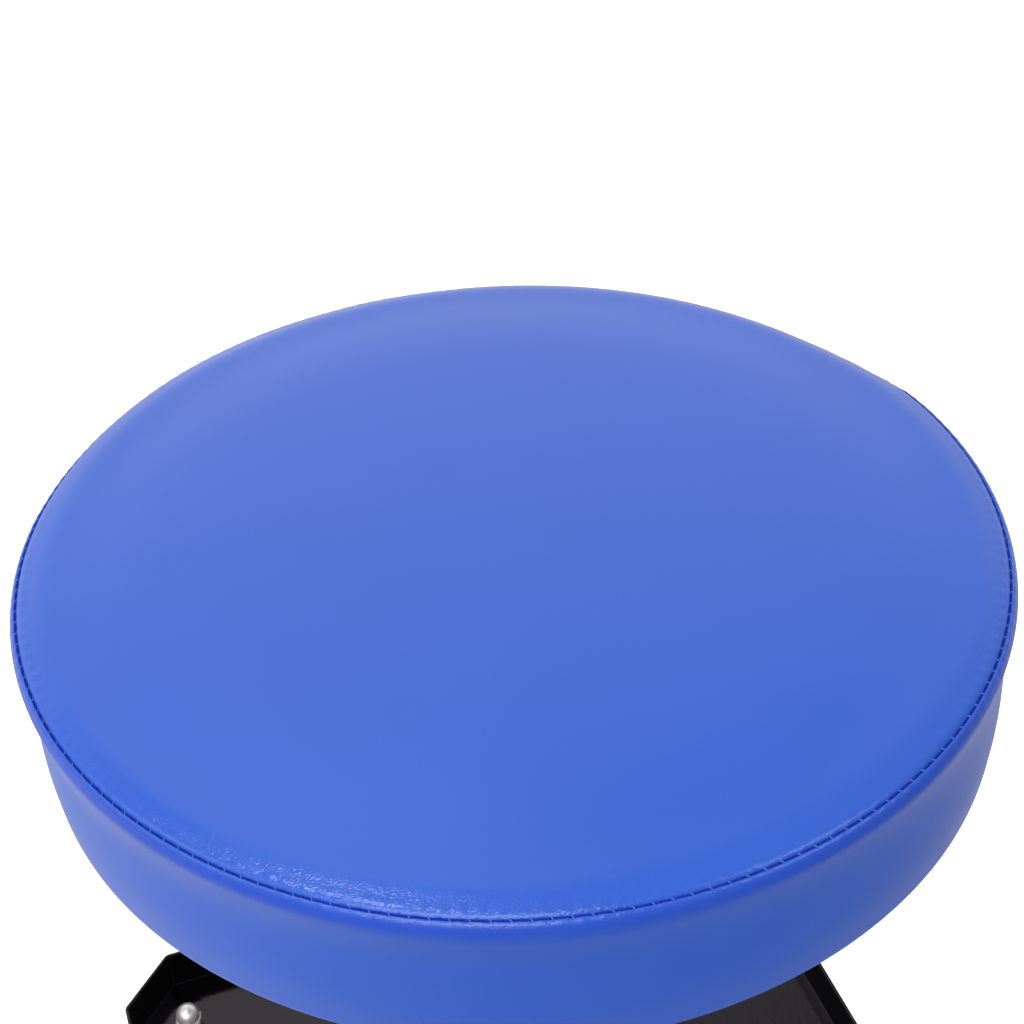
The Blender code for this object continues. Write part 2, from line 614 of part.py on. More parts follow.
def make_spring(base, rod, seat, finish):
    """The gas spring: tube and button above, rod and piston inside, column and bearing below."""
    neck = TUBE_RADIUS - TUBE_TAPER
    hole = BUTTON_RADIUS + RUN_GAP
    lip = ROD_RADIUS + 4 * RUN_GAP
    ceiling = tube_top - TUBE_TOP_WALL
    section = [(lip, tube_bottom), (TUBE_RADIUS, tube_bottom), (TUBE_RADIUS, collar_bottom),
               (neck, collar_top), (neck - TUBE_TAPER, tube_top), (hole, tube_top), (hole, ceiling),
               (tube_bore, ceiling), (tube_bore, tube_bottom + TUBE_LIP), (lip, tube_bottom + TUBE_LIP)]
    add("pressure_tube", turned("pressure_tube", section), finish["chrome"], seat)

    button = pivot("button_axis", seat, (0, 0, tube_top))
    flange = -TUBE_TOP_WALL - GAP
    wide = 0.5 * (BUTTON_RADIUS + tube_bore)
    section = [(0, flange - BUTTON_STEM), (BUTTON_RADIUS * 0.6, flange - BUTTON_STEM),
               (BUTTON_RADIUS * 0.6, flange - BUTTON_FLANGE), (wide, flange - BUTTON_FLANGE),
               (wide, flange), (BUTTON_RADIUS, flange), (BUTTON_RADIUS, BUTTON_RISE * 0.72),
               (BUTTON_RADIUS * 0.62, BUTTON_RISE * 0.93), (0, BUTTON_RISE)]
    add("release_button", turned("release_button", section, ROUND_PIN), finish["black_plastic"], button)

    ring = [(ROD_RADIUS + RUN_GAP, guide_bottom), (tube_bore - GAP, guide_bottom),
            (tube_bore - GAP, guide_top), (ROD_RADIUS + RUN_GAP, guide_top)]
    add("rod_guide", turned("rod_guide", ring, ROUND_SMALL), finish["white_plastic"], seat)

    wide = tube_bore - RUN_GAP
    middle = (piston_bottom + piston_top) / 2
    groove = PISTON_GROOVE
    spigot = ROD_RADIUS * 0.8
    step = piston_bottom + groove
    section = [(ROD_RADIUS + GAP, piston_bottom), (wide, piston_bottom), (wide, middle - groove),
               (wide - groove, middle - groove), (wide - groove, middle + groove),
               (wide, middle + groove), (wide, piston_top), (spigot + GAP, piston_top),
               (spigot + GAP, step), (ROD_RADIUS + GAP, step)]
    add("piston", turned("piston", section, ROUND_SMALL), finish["steel"], rod)

    seat_under = step - GAP
    pin_neck = ROD_NECK_RADIUS - ROD_GROOVE_DEPTH
    groove_low, groove_high = clip_top - CLIP_THICKNESS - GAP, clip_top + GAP
    section = [(0, rod_bottom), (ROD_NECK_RADIUS, rod_bottom), (ROD_NECK_RADIUS, groove_low),
               (pin_neck, groove_low), (pin_neck, groove_high), (ROD_NECK_RADIUS, groove_high),
               (ROD_NECK_RADIUS, rod_shoulder), (ROD_RADIUS, rod_shoulder), (ROD_RADIUS, seat_under),
               (spigot, seat_under), (spigot, piston_top), (0, piston_top)]
    add("piston_rod", turned("piston_rod", section, ROUND_PIN), finish["steel"], rod)

    clip = split_ring("rod_clip", pin_neck + GAP, CLIP_RADIUS, CLIP_THICKNESS)
    add("rod_clip", clip, finish["zinc"], rod, (0, 0, clip_top - CLIP_THICKNESS))

    bore = ROD_RADIUS + GAP
    section = [(bore, rod_shoulder), (BUMP_RADIUS, rod_shoulder),
               (BUMP_RADIUS * 0.82, (rod_shoulder + bump_top) / 2), (BUMP_RADIUS, bump_top - EDGE),
               (BUMP_RADIUS - EDGE, bump_top), (bore, bump_top)]
    add("bump_stop", turned("bump_stop", section, ROUND_SMALL), finish["rubber"], rod)

    bore = ROD_NECK_RADIUS + RUN_GAP
    section = [(bore, 0), (WASHER_RADIUS, 0), (WASHER_RADIUS, WASHER_THICKNESS), (bore, WASHER_THICKNESS)]
    washer = turned("washer", section, ROUND_SMALL)
    add("thrust_washer_upper", washer, finish["steel"], rod, (0, 0, upper_washer))
    add("thrust_washer_lower", washer, finish["steel"], base, (0, 0, lower_washer))
    make_bearing(base, finish)
    make_column(base, finish)


def make_bearing(base, finish):
    """The caged balls that the rod turns on."""
    bore = ROD_NECK_RADIUS + 2 * RUN_GAP
    half = CAGE_THICKNESS / 2
    track = (bore + WASHER_RADIUS) / 2
    section = [(bore, -half), (WASHER_RADIUS, -half), (WASHER_RADIUS, half), (bore, half)]
    cage = turned("thrust_bearing", section, ROUND_SMALL)
    balls = []
    for k in range(BALL_COUNT):
        angle = 2 * math.pi * k / BALL_COUNT
        bm = bmesh.new()
        bmesh.ops.create_uvsphere(bm, u_segments=6, v_segments=4, radius=BALL_RADIUS)
        place = Matrix.Translation((track * math.cos(angle), track * math.sin(angle), 0))
        balls.append(moved(to_mesh(bm, "ball"), place))
    add("thrust_bearing", joined(cage, *balls), finish["steel"], base,
        (0, 0, (bearing_bottom + bearing_top) / 2))


def make_column(base, finish):
    """The tapered column tube and the guide bush pressed into its top."""
    foot, foot_bore = COLUMN_RADIUS - COLUMN_TAPER, column_bore - COLUMN_TAPER
    floor = column_bottom + COLUMN_FLOOR
    bore = ROD_NECK_RADIUS + RUN_GAP
    section = [(bore, column_bottom), (foot, column_bottom), (COLUMN_RADIUS, hub_top),
               (COLUMN_RADIUS, column_top), (column_bore, column_top), (column_bore, hub_top),
               (foot_bore, floor), (bore, floor)]
    add("column_tube", turned("column_tube", section), finish["black_steel"], base)

    bore, wide = TUBE_RADIUS + RUN_GAP, column_bore - GAP
    flange = column_top + GAP
    foot = column_top - BUSH_LENGTH
    section = [(bore, foot), (wide, foot), (wide, flange), (COLUMN_RADIUS, flange),
               (COLUMN_RADIUS, flange + BUSH_FLANGE * 0.5),
               (COLUMN_RADIUS - BUSH_FLANGE * 0.5, flange + BUSH_FLANGE), (bore, flange + BUSH_FLANGE)]
    add("guide_bush", turned("guide_bush", section), finish["black_plastic"], base)


def make_base(base, finish):
    """The tool tray, the hub that takes the column and the four arms welded to it."""
    tray = moved(pan("tool_tray", clipped_square, TRAY_WALL + TRAY_SHEET, TRAY_SHEET, TRAY_BEND),
                 Matrix.Translation((0, 0, tray_bottom)))
    drills = [rod_mesh("drill", hub_radius + 2 * GAP, (0, 0, tray_bottom - OVERRUN),
                       (0, 0, tray_floor + OVERRUN), ROUND)]
    for x, y in caster_places():
        drills.append(rod_mesh("drill", STEM_RADIUS + GAP, (x, y, tray_bottom - OVERRUN),
                               (x, y, tray_floor + OVERRUN)))
    add("tool_tray", cut(tray, *drills), finish["black_steel"], base)

    slope = COLUMN_TAPER / (hub_top - column_bottom)
    low = COLUMN_RADIUS - slope * (hub_top - hub_bottom) + GAP
    section = [(low, hub_bottom), (hub_radius, hub_bottom), (hub_radius, hub_top),
               (COLUMN_RADIUS + GAP, hub_top)]
    add("hub_socket", turned("hub_socket", section), finish["black_steel"], base)

    half, height = ARM_WIDTH / 2, ARM_HEIGHT
    corners = [(half, 0), (half, height), (-half, height), (-half, 0)]
    thin = [(half - ARM_WALL, ARM_WALL), (half - ARM_WALL, height - ARM_WALL),
            (ARM_WALL - half, height - ARM_WALL), (ARM_WALL - half, ARM_WALL)]
    along = Matrix(((0, 0, 1, 0), (1, 0, 0, 0), (0, 1, 0, arm_bottom), (0, 0, 0, 1)))
    bar = moved(extruded("cross_arm", rounded(corners, ARM_CORNER), arm_end), along)
    hollow = moved(extruded("hollow", rounded(thin, ARM_CORNER - ARM_WALL, 2), arm_end - ARM_WALL), along)
    cope = rod_mesh("drill", hub_radius + GAP, (0, 0, 0), (0, 0, 2 * arm_top), ROUND)
    stem = rod_mesh("drill", STEM_RADIUS + GAP, (caster_radius, 0, 0), (caster_radius, 0, 2 * arm_top))
    arm = cut(bar, hollow, cope, stem)
    for number, angle in enumerate(caster_angles(), 1):
        add(f"cross_arm_{number}", arm, finish["black_steel"], base, rotation=(0, 0, angle))


def caster_angles():
    return [math.radians(45 + 90 * k) for k in range(4)]


def caster_places():
    return [(caster_radius * math.cos(a), caster_radius * math.sin(a)) for a in caster_angles()]


def cap_nut():
    """A domed hexagon nut with a blind thread hole."""
    count = ROUND_PIN
    bore = STEM_RADIUS + GAP
    rings = [circle(bore, NUT_BORE_DEPTH, count), circle(bore, 0, count)]
    rings += [hexagon(NUT_FLATS, 0, count), hexagon(NUT_FLATS, NUT_HEX * 0.92, count)]
    rings += [circle(NUT_DOME_RADIUS, NUT_HEX, count)]
    straight = NUT_HEIGHT - NUT_DOME_RADIUS
    for angle in (0, 35, 70):
        a = math.radians(angle)
        rings.append(circle(NUT_DOME_RADIUS * math.cos(a), straight + NUT_DOME_RADIUS * math.sin(a),
                            count))
    return lofted("cap_nut", rings)


def caster_stem():
    """The threaded stem, riveted below the crown and running up through arm and tray."""
    top = tray_floor + NUT_BORE_DEPTH - 2 * GAP
    head_top = crown_bottom - GAP
    shoulder = cup_top
    section = [(0, head_top - STEM_HEAD), (STEM_HEAD_RADIUS * 0.7, head_top - STEM_HEAD),
               (STEM_HEAD_RADIUS, head_top - STEM_HEAD * 0.4), (STEM_HEAD_RADIUS, head_top),
               (STEM_PIN_RADIUS, head_top), (STEM_PIN_RADIUS, shoulder), (STEM_RADIUS, shoulder),
               (STEM_RADIUS, top - EDGE), (STEM_RADIUS - EDGE, top), (0, top)]
    return turned("caster_stem", section, ROUND_PIN)


def caster_cup():
    """The pressed cup over the ball race, held under the arm."""
    bore = STEM_PIN_RADIUS + GAP
    skirt_in = CROWN_RADIUS + RUN_GAP
    skirt_bottom = crown_top + RUN_GAP
    section = [(bore, cup_bottom), (skirt_in - EDGE, cup_bottom), (skirt_in, cup_bottom - EDGE),
               (skirt_in, skirt_bottom), (cup_radius, skirt_bottom), (cup_radius, cup_top - EDGE),
               (cup_radius - EDGE, cup_top), (bore, cup_top)]
    return turned("swivel_cup", section, ROUND_SMALL)


def caster_fork():
    """The pressed yoke: a round crown with a raised race and two legs down to the axle."""
    race = (CROWN_RADIUS + STEM_PIN_RADIUS) / 2
    ridge = BALL_TRACK - GAP
    section = [(0, crown_bottom), (CROWN_RADIUS, crown_bottom), (CROWN_RADIUS, crown_top),
               (race + RACE_FOOT, crown_top), (race + RACE_FOOT / 2, crown_top + ridge),
               (race - RACE_FOOT / 2, crown_top + ridge), (race - RACE_FOOT, crown_top), (0, crown_top)]
    crown = turned("caster_fork", section, ROUND_SMALL)

    lap = FORK_SHEET * 0.5
    front, back = CROWN_RADIUS * 0.62, CASTER_TRAIL * 0.95
    bridge_points = [(-front, -fork_outside), (back, -fork_outside), (back, fork_outside),
                     (-front, fork_outside)]
    bridge = extruded("bridge", bridge_points, FORK_SHEET - lap)
    bridge = moved(bridge, Matrix.Translation((0, 0, crown_bottom + lap * 0.5)))

    knee = crown_bottom - 0.2 * (crown_bottom - WHEEL_RADIUS)
    top = crown_top - lap * 0.5
    outline = [(-front, top), (-front, knee)]
    outline += arc((CASTER_TRAIL, WHEEL_RADIUS), FORK_EYE, 200, 380, 6)
    outline += [(back + 2 * EDGE, knee), (back, top)]
    stand = Matrix(((1, 0, 0, 0), (0, 0, -1, 0), (0, 1, 0, 0), (0, 0, 0, 1)))
    legs = []
    for side in (fork_outside, -fork_inside):
        leg = extruded("leg", outline, FORK_SHEET)
        legs.append(moved(leg, Matrix.Translation((0, side, 0)) @ stand))
    axle = rod_mesh("drill", AXLE_RADIUS + GAP, (CASTER_TRAIL, -2 * fork_outside, WHEEL_RADIUS),
                    (CASTER_TRAIL, 2 * fork_outside, WHEEL_RADIUS))
    stem = rod_mesh("drill", STEM_PIN_RADIUS + RUN_GAP, (0, 0, 0), (0, 0, 2 * crown_top))
    return cut(joined(crown, bridge, *legs), axle, stem)


def caster_wheel():
    """A moulded wheel about Z: hub, thin web and rounded rim, with a facet flat on the floor."""
    full = WHEEL_RADIUS / math.cos(math.pi / ROUND)
    rim = full - WHEEL_RIM
    bore = AXLE_RADIUS + RUN_GAP
    upper = [(bore, WHEEL_HUB_WIDTH / 2), (WHEEL_HUB_RADIUS, WHEEL_HUB_WIDTH / 2),
             (WHEEL_HUB_RADIUS + EDGE, WHEEL_WEB / 2), (rim, WHEEL_WEB / 2),
             (rim + EDGE, WHEEL_WIDTH / 2), (full - WHEEL_EDGE, WHEEL_WIDTH / 2),
             (full, WHEEL_WIDTH / 2 - WHEEL_EDGE)]
    section = upper + [(radius, -height) for radius, height in reversed(upper)]
    wheel = turned("caster_wheel", section, ROUND)
    return moved(wheel, Matrix.Rotation(math.pi / ROUND, 4, "Z"))


def caster_axle():
    """A riveted axle about Z."""
    reach = fork_outside + GAP
    section = [(0, -reach - AXLE_HEAD), (AXLE_HEAD_RADIUS * 0.7, -reach - AXLE_HEAD),
               (AXLE_HEAD_RADIUS, -reach - AXLE_HEAD * 0.3), (AXLE_HEAD_RADIUS, -reach),
               (AXLE_RADIUS, -reach)]
    section += [(radius, -height) for radius, height in reversed(section)]
    return turned("caster_axle", section, ROUND_PIN)


def make_casters(base, finish):
    """Four swivel casters, each held by a domed nut inside the tray."""
    nut, stem, cup = cap_nut(), caster_stem(), caster_cup()
    fork, wheel, axle = caster_fork(), caster_wheel(), caster_axle()
    lay = (math.pi / 2, 0, 0)
    for number, ((x, y), angle) in enumerate(zip(caster_places(), caster_angles()), 1):
        add(f"cap_nut_{number}", nut, finish["zinc"], base, (x, y, tray_floor + GAP), (0, 0, angle))
        add(f"caster_stem_{number}", stem, finish["zinc"], base, (x, y, 0))
        add(f"swivel_cup_{number}", cup, finish["zinc"], base, (x, y, 0))
        turn = pivot(f"caster_axis_{number}", base, (x, y, 0), (0, 0, angle + math.radians(CASTER_TWIST)))
        add(f"caster_fork_{number}", fork, finish["zinc"], turn)
        centre = (CASTER_TRAIL, 0, WHEEL_RADIUS)
        add(f"caster_axle_{number}", axle, finish["zinc"], turn, centre, lay)
        add(f"caster_wheel_{number}", wheel, finish["wheel"], turn, centre, lay)


def finishes():
    return {
        "vinyl": material("blue_vinyl", (0.035, 0.13, 0.62), 0.42),
        "foam": material("foam", (0.80, 0.76, 0.62), 0.95),
        "plywood": material("plywood", (0.58, 0.42, 0.26), 0.75),
        "black_steel": material("black_steel", (0.012, 0.012, 0.013), 0.32, 0.2),
        "chrome": material("chrome", (0.80, 0.80, 0.82), 0.10, 1.0),
        "zinc": material("zinc_plate", (0.62, 0.63, 0.65), 0.34, 1.0),
        "steel": material("bright_steel", (0.52, 0.52, 0.54), 0.28, 1.0),
        "black_plastic": material("black_plastic", (0.014, 0.014, 0.015), 0.46),
        "white_plastic": material("white_plastic", (0.78, 0.78, 0.75), 0.45),
        "rubber": material("rubber", (0.02, 0.02, 0.02), 0.8),
        "wheel": material("wheel_plastic", (0.018, 0.018, 0.019), 0.5),
    }


def main():
    clear_scene()
    finish = finishes()
    base = pivot("base")
    rod = pivot("swivel_axis", base)
    seat = pivot("lift_axis", rod)
    make_base(base, finish)
    make_casters(base, finish)
    make_spring(base, rod, seat, finish)
    make_mechanism(seat, finish)
    make_lever(seat, finish)
    make_seat(seat, finish)


main()
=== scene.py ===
"""Looks of the pneumatic garage stool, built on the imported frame.

Metres, in the frame's own axes. Every piece is made in place and then rides on its body.
"""

import json
import math

import bmesh
import bpy
from mathutils import Matrix, Vector


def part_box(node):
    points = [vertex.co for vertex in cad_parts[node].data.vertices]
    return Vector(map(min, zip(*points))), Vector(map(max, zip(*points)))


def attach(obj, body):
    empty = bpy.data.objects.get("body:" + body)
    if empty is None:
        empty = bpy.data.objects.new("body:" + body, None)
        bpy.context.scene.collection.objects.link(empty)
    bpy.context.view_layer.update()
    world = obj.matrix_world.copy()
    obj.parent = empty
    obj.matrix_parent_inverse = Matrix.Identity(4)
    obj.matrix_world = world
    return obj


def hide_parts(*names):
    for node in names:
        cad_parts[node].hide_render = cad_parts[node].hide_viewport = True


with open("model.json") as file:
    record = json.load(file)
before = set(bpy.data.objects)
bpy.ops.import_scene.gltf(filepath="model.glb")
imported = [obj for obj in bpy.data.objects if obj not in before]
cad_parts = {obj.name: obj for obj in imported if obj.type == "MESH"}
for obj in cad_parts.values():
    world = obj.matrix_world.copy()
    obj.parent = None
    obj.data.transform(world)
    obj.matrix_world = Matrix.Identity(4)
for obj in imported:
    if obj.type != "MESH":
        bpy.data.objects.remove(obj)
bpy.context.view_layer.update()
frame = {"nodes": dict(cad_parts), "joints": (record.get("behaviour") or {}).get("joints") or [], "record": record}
joints = {joint["name"]: joint for joint in frame["joints"]}
slots = {part["node"]: part["material_slot"] for part in frame["record"]["subparts"]}

# The photograph's camera, worked out from the seam circle and the tray's edges.
IMAGE_SIZE = 1024
FOCAL_PIXELS = 1812.0
SENSOR = 36.0
CAMERA_DISTANCE = 0.64696
CAMERA_ELEVATION = 38.72
CAMERA_PITCH = 38.09
CAMERA_YAW = 0.17
CAMERA_ROLL = 2.94
CAMERA_SIDE = -0.0008
TRAY_TURN = 17.32            # degrees from the tray's front to the camera's heading
SPIN = Matrix.Rotation(-math.radians(TRAY_TURN), 3, "Z")   # from the photograph's axes to the frame's
UP = Vector((0, 0, 1))

# The cushion, in metres below or above its seam.
SEAM_RADIUS = 0.174
STITCHES = 188
AROUND = 4 * STITCHES        # points round the cushion
CROWN = 0.0055
GROOVE_DEPTH = 0.0020
GROOVE_HALF = 0.0003
GROOVE_SHARES = (0.0, 0.45, 1.3, 0.45)   # the seam opens like this from one stitch to the next
STITCH_SHIFT = 0.07          # of a stitch's length, that the opening's ends stand away from the stitches
FOLD_DROP = 0.0004           # the band's folded edge below the seam line
PUCKER = 0.00030             # stitches draw the vinyl in by this
PUCKER_REACH = 0.003
PUFF_CAP = 0.0010            # most that the pressure may move a point
PUFF_FRAMES = 20             # length of the pressure simulation
BAND_LOW = 0.1752            # the band's radius over its rounded foot
SEAT_FOOT = 0.005            # rounding of the cushion's lower edge
HEM_START, HEM_RADIUS = 0.165, 0.128
HEM_TURN = 0.004             # the hem's raw edge turns up into the board
HEM_GATHER = 0.0007          # depth of the hem's gathers
BOARD_RADIUS = 0.166
BOARD_EDGE = 0.002
THREAD_RADIUS = 0.00032
THREAD_SLANT = 0.0002
# A stitch as (place across the groove, height over the seam, share of the thread's radius).
THREAD = ((-1.4, -0.0005, 0.5), (-0.5, -0.0004, 0.9), (1.2, -0.0006, 0.9), (2.9, -0.0009, 0.4))
STAPLES = 36
STAPLE_REACH = 0.008         # from the hem's raw edge
STAPLE_PROUD = 0.0007
STAPLE = ((-0.005, 0.0010), (-0.0048, 0.0), (0.0048, 0.0), (0.005, 0.0010))
STAPLE_WIRE = ((-0.0006, -0.0003), (0.0006, -0.0003), (0.0006, 0.0003), (-0.0006, 0.0003))

# The cover isn't quite true on the stool, seen from the photograph's side.
OFF_CENTRE = 0.0018          # to the right of the column
BAND_SLIP = 0.0009           # the band, further to the right
RIM_TIGHT = 0.0003           # the left of the rim is drawn in
# The far edge of the seam hangs lower: bearing in degrees from the right, and drop in millimetres.
SAG = ((-20, 0.0), (20, 0.0), (25, 0.3), (29, 1.8), (33, 3.8), (38, 5.2), (44, 5.8), (52, 5.8), (64, 5.1), (78, 4.5),
       (95, 3.8), (112, 2.5), (128, 1.7), (145, 1.4), (158, 1.4), (167, 1.1), (174, 0.4), (182, 0.0))
SOFT_SAG = (18, 46, 115, 145)   # between these bearings the top panel falls gently, elsewhere only at its edge
SAG_DEPTH, SAG_FADE = 0.010, 0.035   # the band shares the whole drop down to here, and then less and less
BULGE = 0.0022               # the panel swells over the seam where that hangs 5 mm

# The studio: the backdrop's and ceiling's light, and lamps as (name, place from the seat, size, power).
CEILING_START, CEILING_END = 0.47, 0.85
CEILING_LIGHT = 0.30
WALL_PLAIN, WALL_BEHIND, WALL_LEFT = 0.10, 1.10, 0.31
PANEL = (-0.181, 0.498, 0.848)
PANEL_START, PANEL_END = 0.955, 0.995
PANEL_LIGHT = 0.75
FLOOR_HALF = 6.0
FLOOR_BACK = (-0.4, 0.92, 0.0)
FLOOR_WHITE, FLOOR_FRONT = 0.90, 0.28    # the floor darkens towards the camera
FLOOR_GLOW, FLOOR_SHEEN = 0.72, 0.25     # the floor's own light for camera rays, and for reflections
LAMPS = (("overhead", (-0.48, -0.26, 1.50), (0.39, 0.39), 5.8),
         ("key", (-0.50, -2.15, 1.35), (1.8, 1.8), 41.5),
         ("side", (-1.5, -0.5, 0.9), (0.9, 0.9), 3.6),
         ("fill", (1.5, -0.9, 1.2), (1.0, 1.0), 7.0))

# The vinyl. Its grain shows most at the front of the rim.
VINYL_BLUE = (0.034, 0.118, 0.600)
FOLD_PAINTED_SHADE = (0.70, 0.72, 0.96)   # painted shade: the vinyl's colour is multiplied by this round the fold under the seam
GRAIN_CELLS, GRAIN_CREASES = 2000.0, 3600.0
GRAIN_LEAN = 40.0
GRAIN_STRETCH = (0.50, 1.0, 1.0)
GRAIN_FRONT = (-0.25, -0.97, 0.0)
ROUGH_BAND, ROUGH_TOP, ROUGH_GRAIN = 0.42, 0.26, 0.08   # the grain's share is taken off the top's

# Sizes of rigid pieces that the frame's boxes don't tell.
EDGE = 0.0004                # broken edges
FINE = 96                    # points round large turned pieces
SMALL = 48                   # points round pins and nuts
TRAY_SHEET = 0.0015
TRAY_CLIP = 0.038            # length of a clipped corner
TRAY_BEND = 0.0019
TRAY_CORNER = 0.004
HUB_GAP = 0.0006
HUB_BORE = 0.0253
ARM_HALF = 0.015
ARM_CORNER = 0.003
ARM_BEAD = 0.0020
COLLAR_BEAD = 0.0018
TUBE_BORE = 0.0145
TUBE_WALL = 0.002
COLUMN_BORE = 0.0044         # in its floor
BUSH_BORE = 0.0144
BUTTON_RADIUS = 0.0048
BUTTON_RISE = 0.0045         # its foot stays over the housing's floor when pressed
PLATE_SHEET = 0.0025
PLATE_CORNER = 0.016
HOUSING_BEND = 0.005
LEVER_RADIUS = 0.004
PIN_RADIUS, PIN_HEAD = 0.003, 0.005
NUT_FLATS = 0.013
NUT_HEX = 0.0065             # height of the nut's hexagon
NUT_DOME = 0.0062
BOLT_FLATS = 0.010
BOLT_HEAD = 0.004
STEM_PIN, STEM_SHANK = 0.005, 0.004
FORK_SHEET = 0.0022
FORK_OUT, FORK_IN = 0.0139, 0.0117
FORK_FRONT, FORK_BACK = -0.0105, 0.0209
FORK_BEND = 0.004
FORK_EYE = 0.0085            # radius of the legs' ends round the axle
CROWN_RADIUS, RACE_RADIUS = 0.017, 0.011
CASTER_TRAIL = 0.022
RIVET_OUT, RIVET_RADIUS, RIVET_HEAD = 0.0145, 0.0055, 0.0022
WHEEL_HALF, WHEEL_HUB, WHEEL_WEB = 0.010, 0.008, 0.0042
WHEEL_SPOKES = 6
SPOKE_HALF = 0.0009

seat_low, seat_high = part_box("seat_cover")
seam_height = seat_high.z - CROWN
seat_radius = seat_high.x
band_height = seam_height - seat_low.z


# Materials
class Net:
    """The nodes of a material or world, and short ways to add to them."""

    def __init__(self, owner):
        owner.use_nodes = True
        self.nodes, self.links = owner.node_tree.nodes, owner.node_tree.links
        self.spot = self.add("TexCoord").outputs

    def give(self, socket, value):
        """A value for an input, or a link where the value is another node's output."""
        if isinstance(value, bpy.types.NodeSocket):
            self.links.new(value, socket)
        else:
            socket.default_value = value

    def fill(self, node, **settings):
        """Sets a node's inputs, by their names with _ for a space, and its properties."""
        for key, value in settings.items():
            name = key.replace("_", " ")
            if name in node.inputs:
                self.give(node.inputs[name], value)
            else:
                setattr(node, key, value)

    def add(self, kind, *values, **settings):
        """A new node, whose first inputs take the values."""
        made = self.nodes.new("ShaderNode" + kind)
        self.fill(made, **settings)
        for socket, value in zip(made.inputs, values):
            self.give(socket, value)
        return made

    def noise(self, scale, detail, place=None, **settings):
        """A cloud texture, in the piece's own coordinates unless others are given."""
        place = place or self.spot["Object"]
        return self.add("TexNoise", Vector=place, Scale=scale, Detail=detail, **settings).outputs["Fac"]

    def ramp(self, source, *stops):
        """Colours for a value, from (place, colour) stops."""
        made = self.add("ValToRGB", source)
        elements = made.color_ramp.elements
        while len(elements) < len(stops):
            elements.new(0.5)
        for element, (place, colour) in zip(elements, stops):
            element.position = place
            element.color = (*colour, 1.0)
        return made.outputs["Color"]

    def spread(self, source, low, high, start=0.0, end=1.0, **settings):
        """A number that goes from low to high as a value goes from start to end."""
        return self.add("MapRange", source, start, end, low, high, **settings).outputs["Result"]

    def bump(self, height, strength, distance, **under):
        """A normal from a height, over another normal if that is given."""
        return self.add("Bump", Height=height, Strength=strength, Distance=distance, **under).outputs["Normal"]

    def number(self, operation, *values):
        """One operation on values, of which any may be an output."""
        return self.add("Math", *values, operation=operation).outputs[0]

    def along(self, place, heading):
        """How far a place lies along a heading."""
        return self.add("VectorMath", place, heading, operation="DOT_PRODUCT").outputs["Value"]

    def towards(self, place, heading, start, end):
        """0 to 1 as a direction turns towards a heading."""
        return self.spread(self.along(place, heading), 0.0, 1.0, start, end, interpolation_type="SMOOTHSTEP")


def material(name):
    """A new material, with its net and its main shader."""
    made = bpy.data.materials.new(name)
    net = Net(made)
    return made, net, net.nodes["Principled BSDF"]


def scaled(colour, share, lift=0.0):
    return tuple(value * share + lift for value in colour)


def vinyl(name, colour):
    """Blue upholstery vinyl: fine pebbled grain, soft sheen, slightly uneven colour and painted shade round the fold.
    """
    made, net, shader = material(name)
    here = net.spot["Object"]
    axes = net.add("SeparateXYZ", here).outputs
    radius = net.number("SQRT", net.number("ADD", *(net.number("POWER", axes[axis], 2.0) for axis in "XY")))

    def over_seam(start, end, low=0.0, high=1.0):
        return net.spread(axes["Z"], low, high, seam_height + start, seam_height + end)

    cloud = net.noise(14.0, 3.0)
    even = net.ramp(cloud, (0.0, scaled(colour, 0.95)), (1.0, scaled(colour, 1.05)))
    # Painted shade round the fold: the colour darkens from 8.5 mm to 0.4 mm under the seam, most from 3.5 to 2.2 mm.
    fold = net.number("MULTIPLY", over_seam(-0.0085, -0.0035), over_seam(-0.0022, -0.0004, 1.0, 0.0))
    painted_fold_shade = net.ramp(fold, (0.0, (1.0, 1.0, 1.0)), (1.0, FOLD_PAINTED_SHADE))
    blue = net.add("VectorMath", even, painted_fold_shade, operation="MULTIPLY").outputs["Vector"]

    top = over_seam(-0.0035, -0.0005)
    edge = net.spread(radius, 0.10, 1.0, 0.163, 0.169)
    front = net.spread(net.along(here, SPIN @ Vector(GRAIN_FRONT)), 0.3, 1.0, 0.08, 0.15)
    share = net.number("MULTIPLY", net.number("MULTIPLY", edge, net.spread(top, 0.12, 1.0)), front)
    turn = (0.0, 0.0, math.radians(GRAIN_LEAN))
    lean = net.add("Mapping", Vector=here, Rotation=turn, Scale=GRAIN_STRETCH).outputs["Vector"]
    cells = net.add("TexVoronoi", Vector=lean, Scale=GRAIN_CELLS, feature="SMOOTH_F1", Randomness=1.0)
    creases = net.noise(GRAIN_CREASES, 2.0, lean, Distortion=0.6)
    normal = net.bump(cells.outputs["Distance"], share, 0.00012)
    normal = net.bump(creases, net.number("MULTIPLY", share, 0.4), 0.00003, Normal=normal)
    normal = net.bump(net.noise(25.0, 1.0), 0.04, 0.0008, Normal=normal)

    rough = net.number("ADD", net.spread(cloud, -0.02, 0.02), net.spread(top, ROUGH_BAND, ROUGH_TOP))
    rough = net.number("SUBTRACT", rough, net.spread(share, 0.0, ROUGH_GRAIN))
    net.fill(shader, Base_Color=blue, Normal=normal, Roughness=rough, IOR=1.48,
             Specular_IOR_Level=net.spread(top, 0.28, 0.50))
    return made


def surface(name, clouds, stops, rough, skin, **settings):
    """A material whose colour and gloss vary in clouds, under a skin given as its scale, strength and depth."""
    made, net, shader = material(name)
    cloud = net.noise(*clouds)
    scale, strength, depth = skin
    net.fill(shader, Base_Color=net.ramp(cloud, *stops), Roughness=net.spread(cloud, *rough),
             Normal=net.bump(net.noise(scale, 2.0), strength, depth), **settings)
    return made


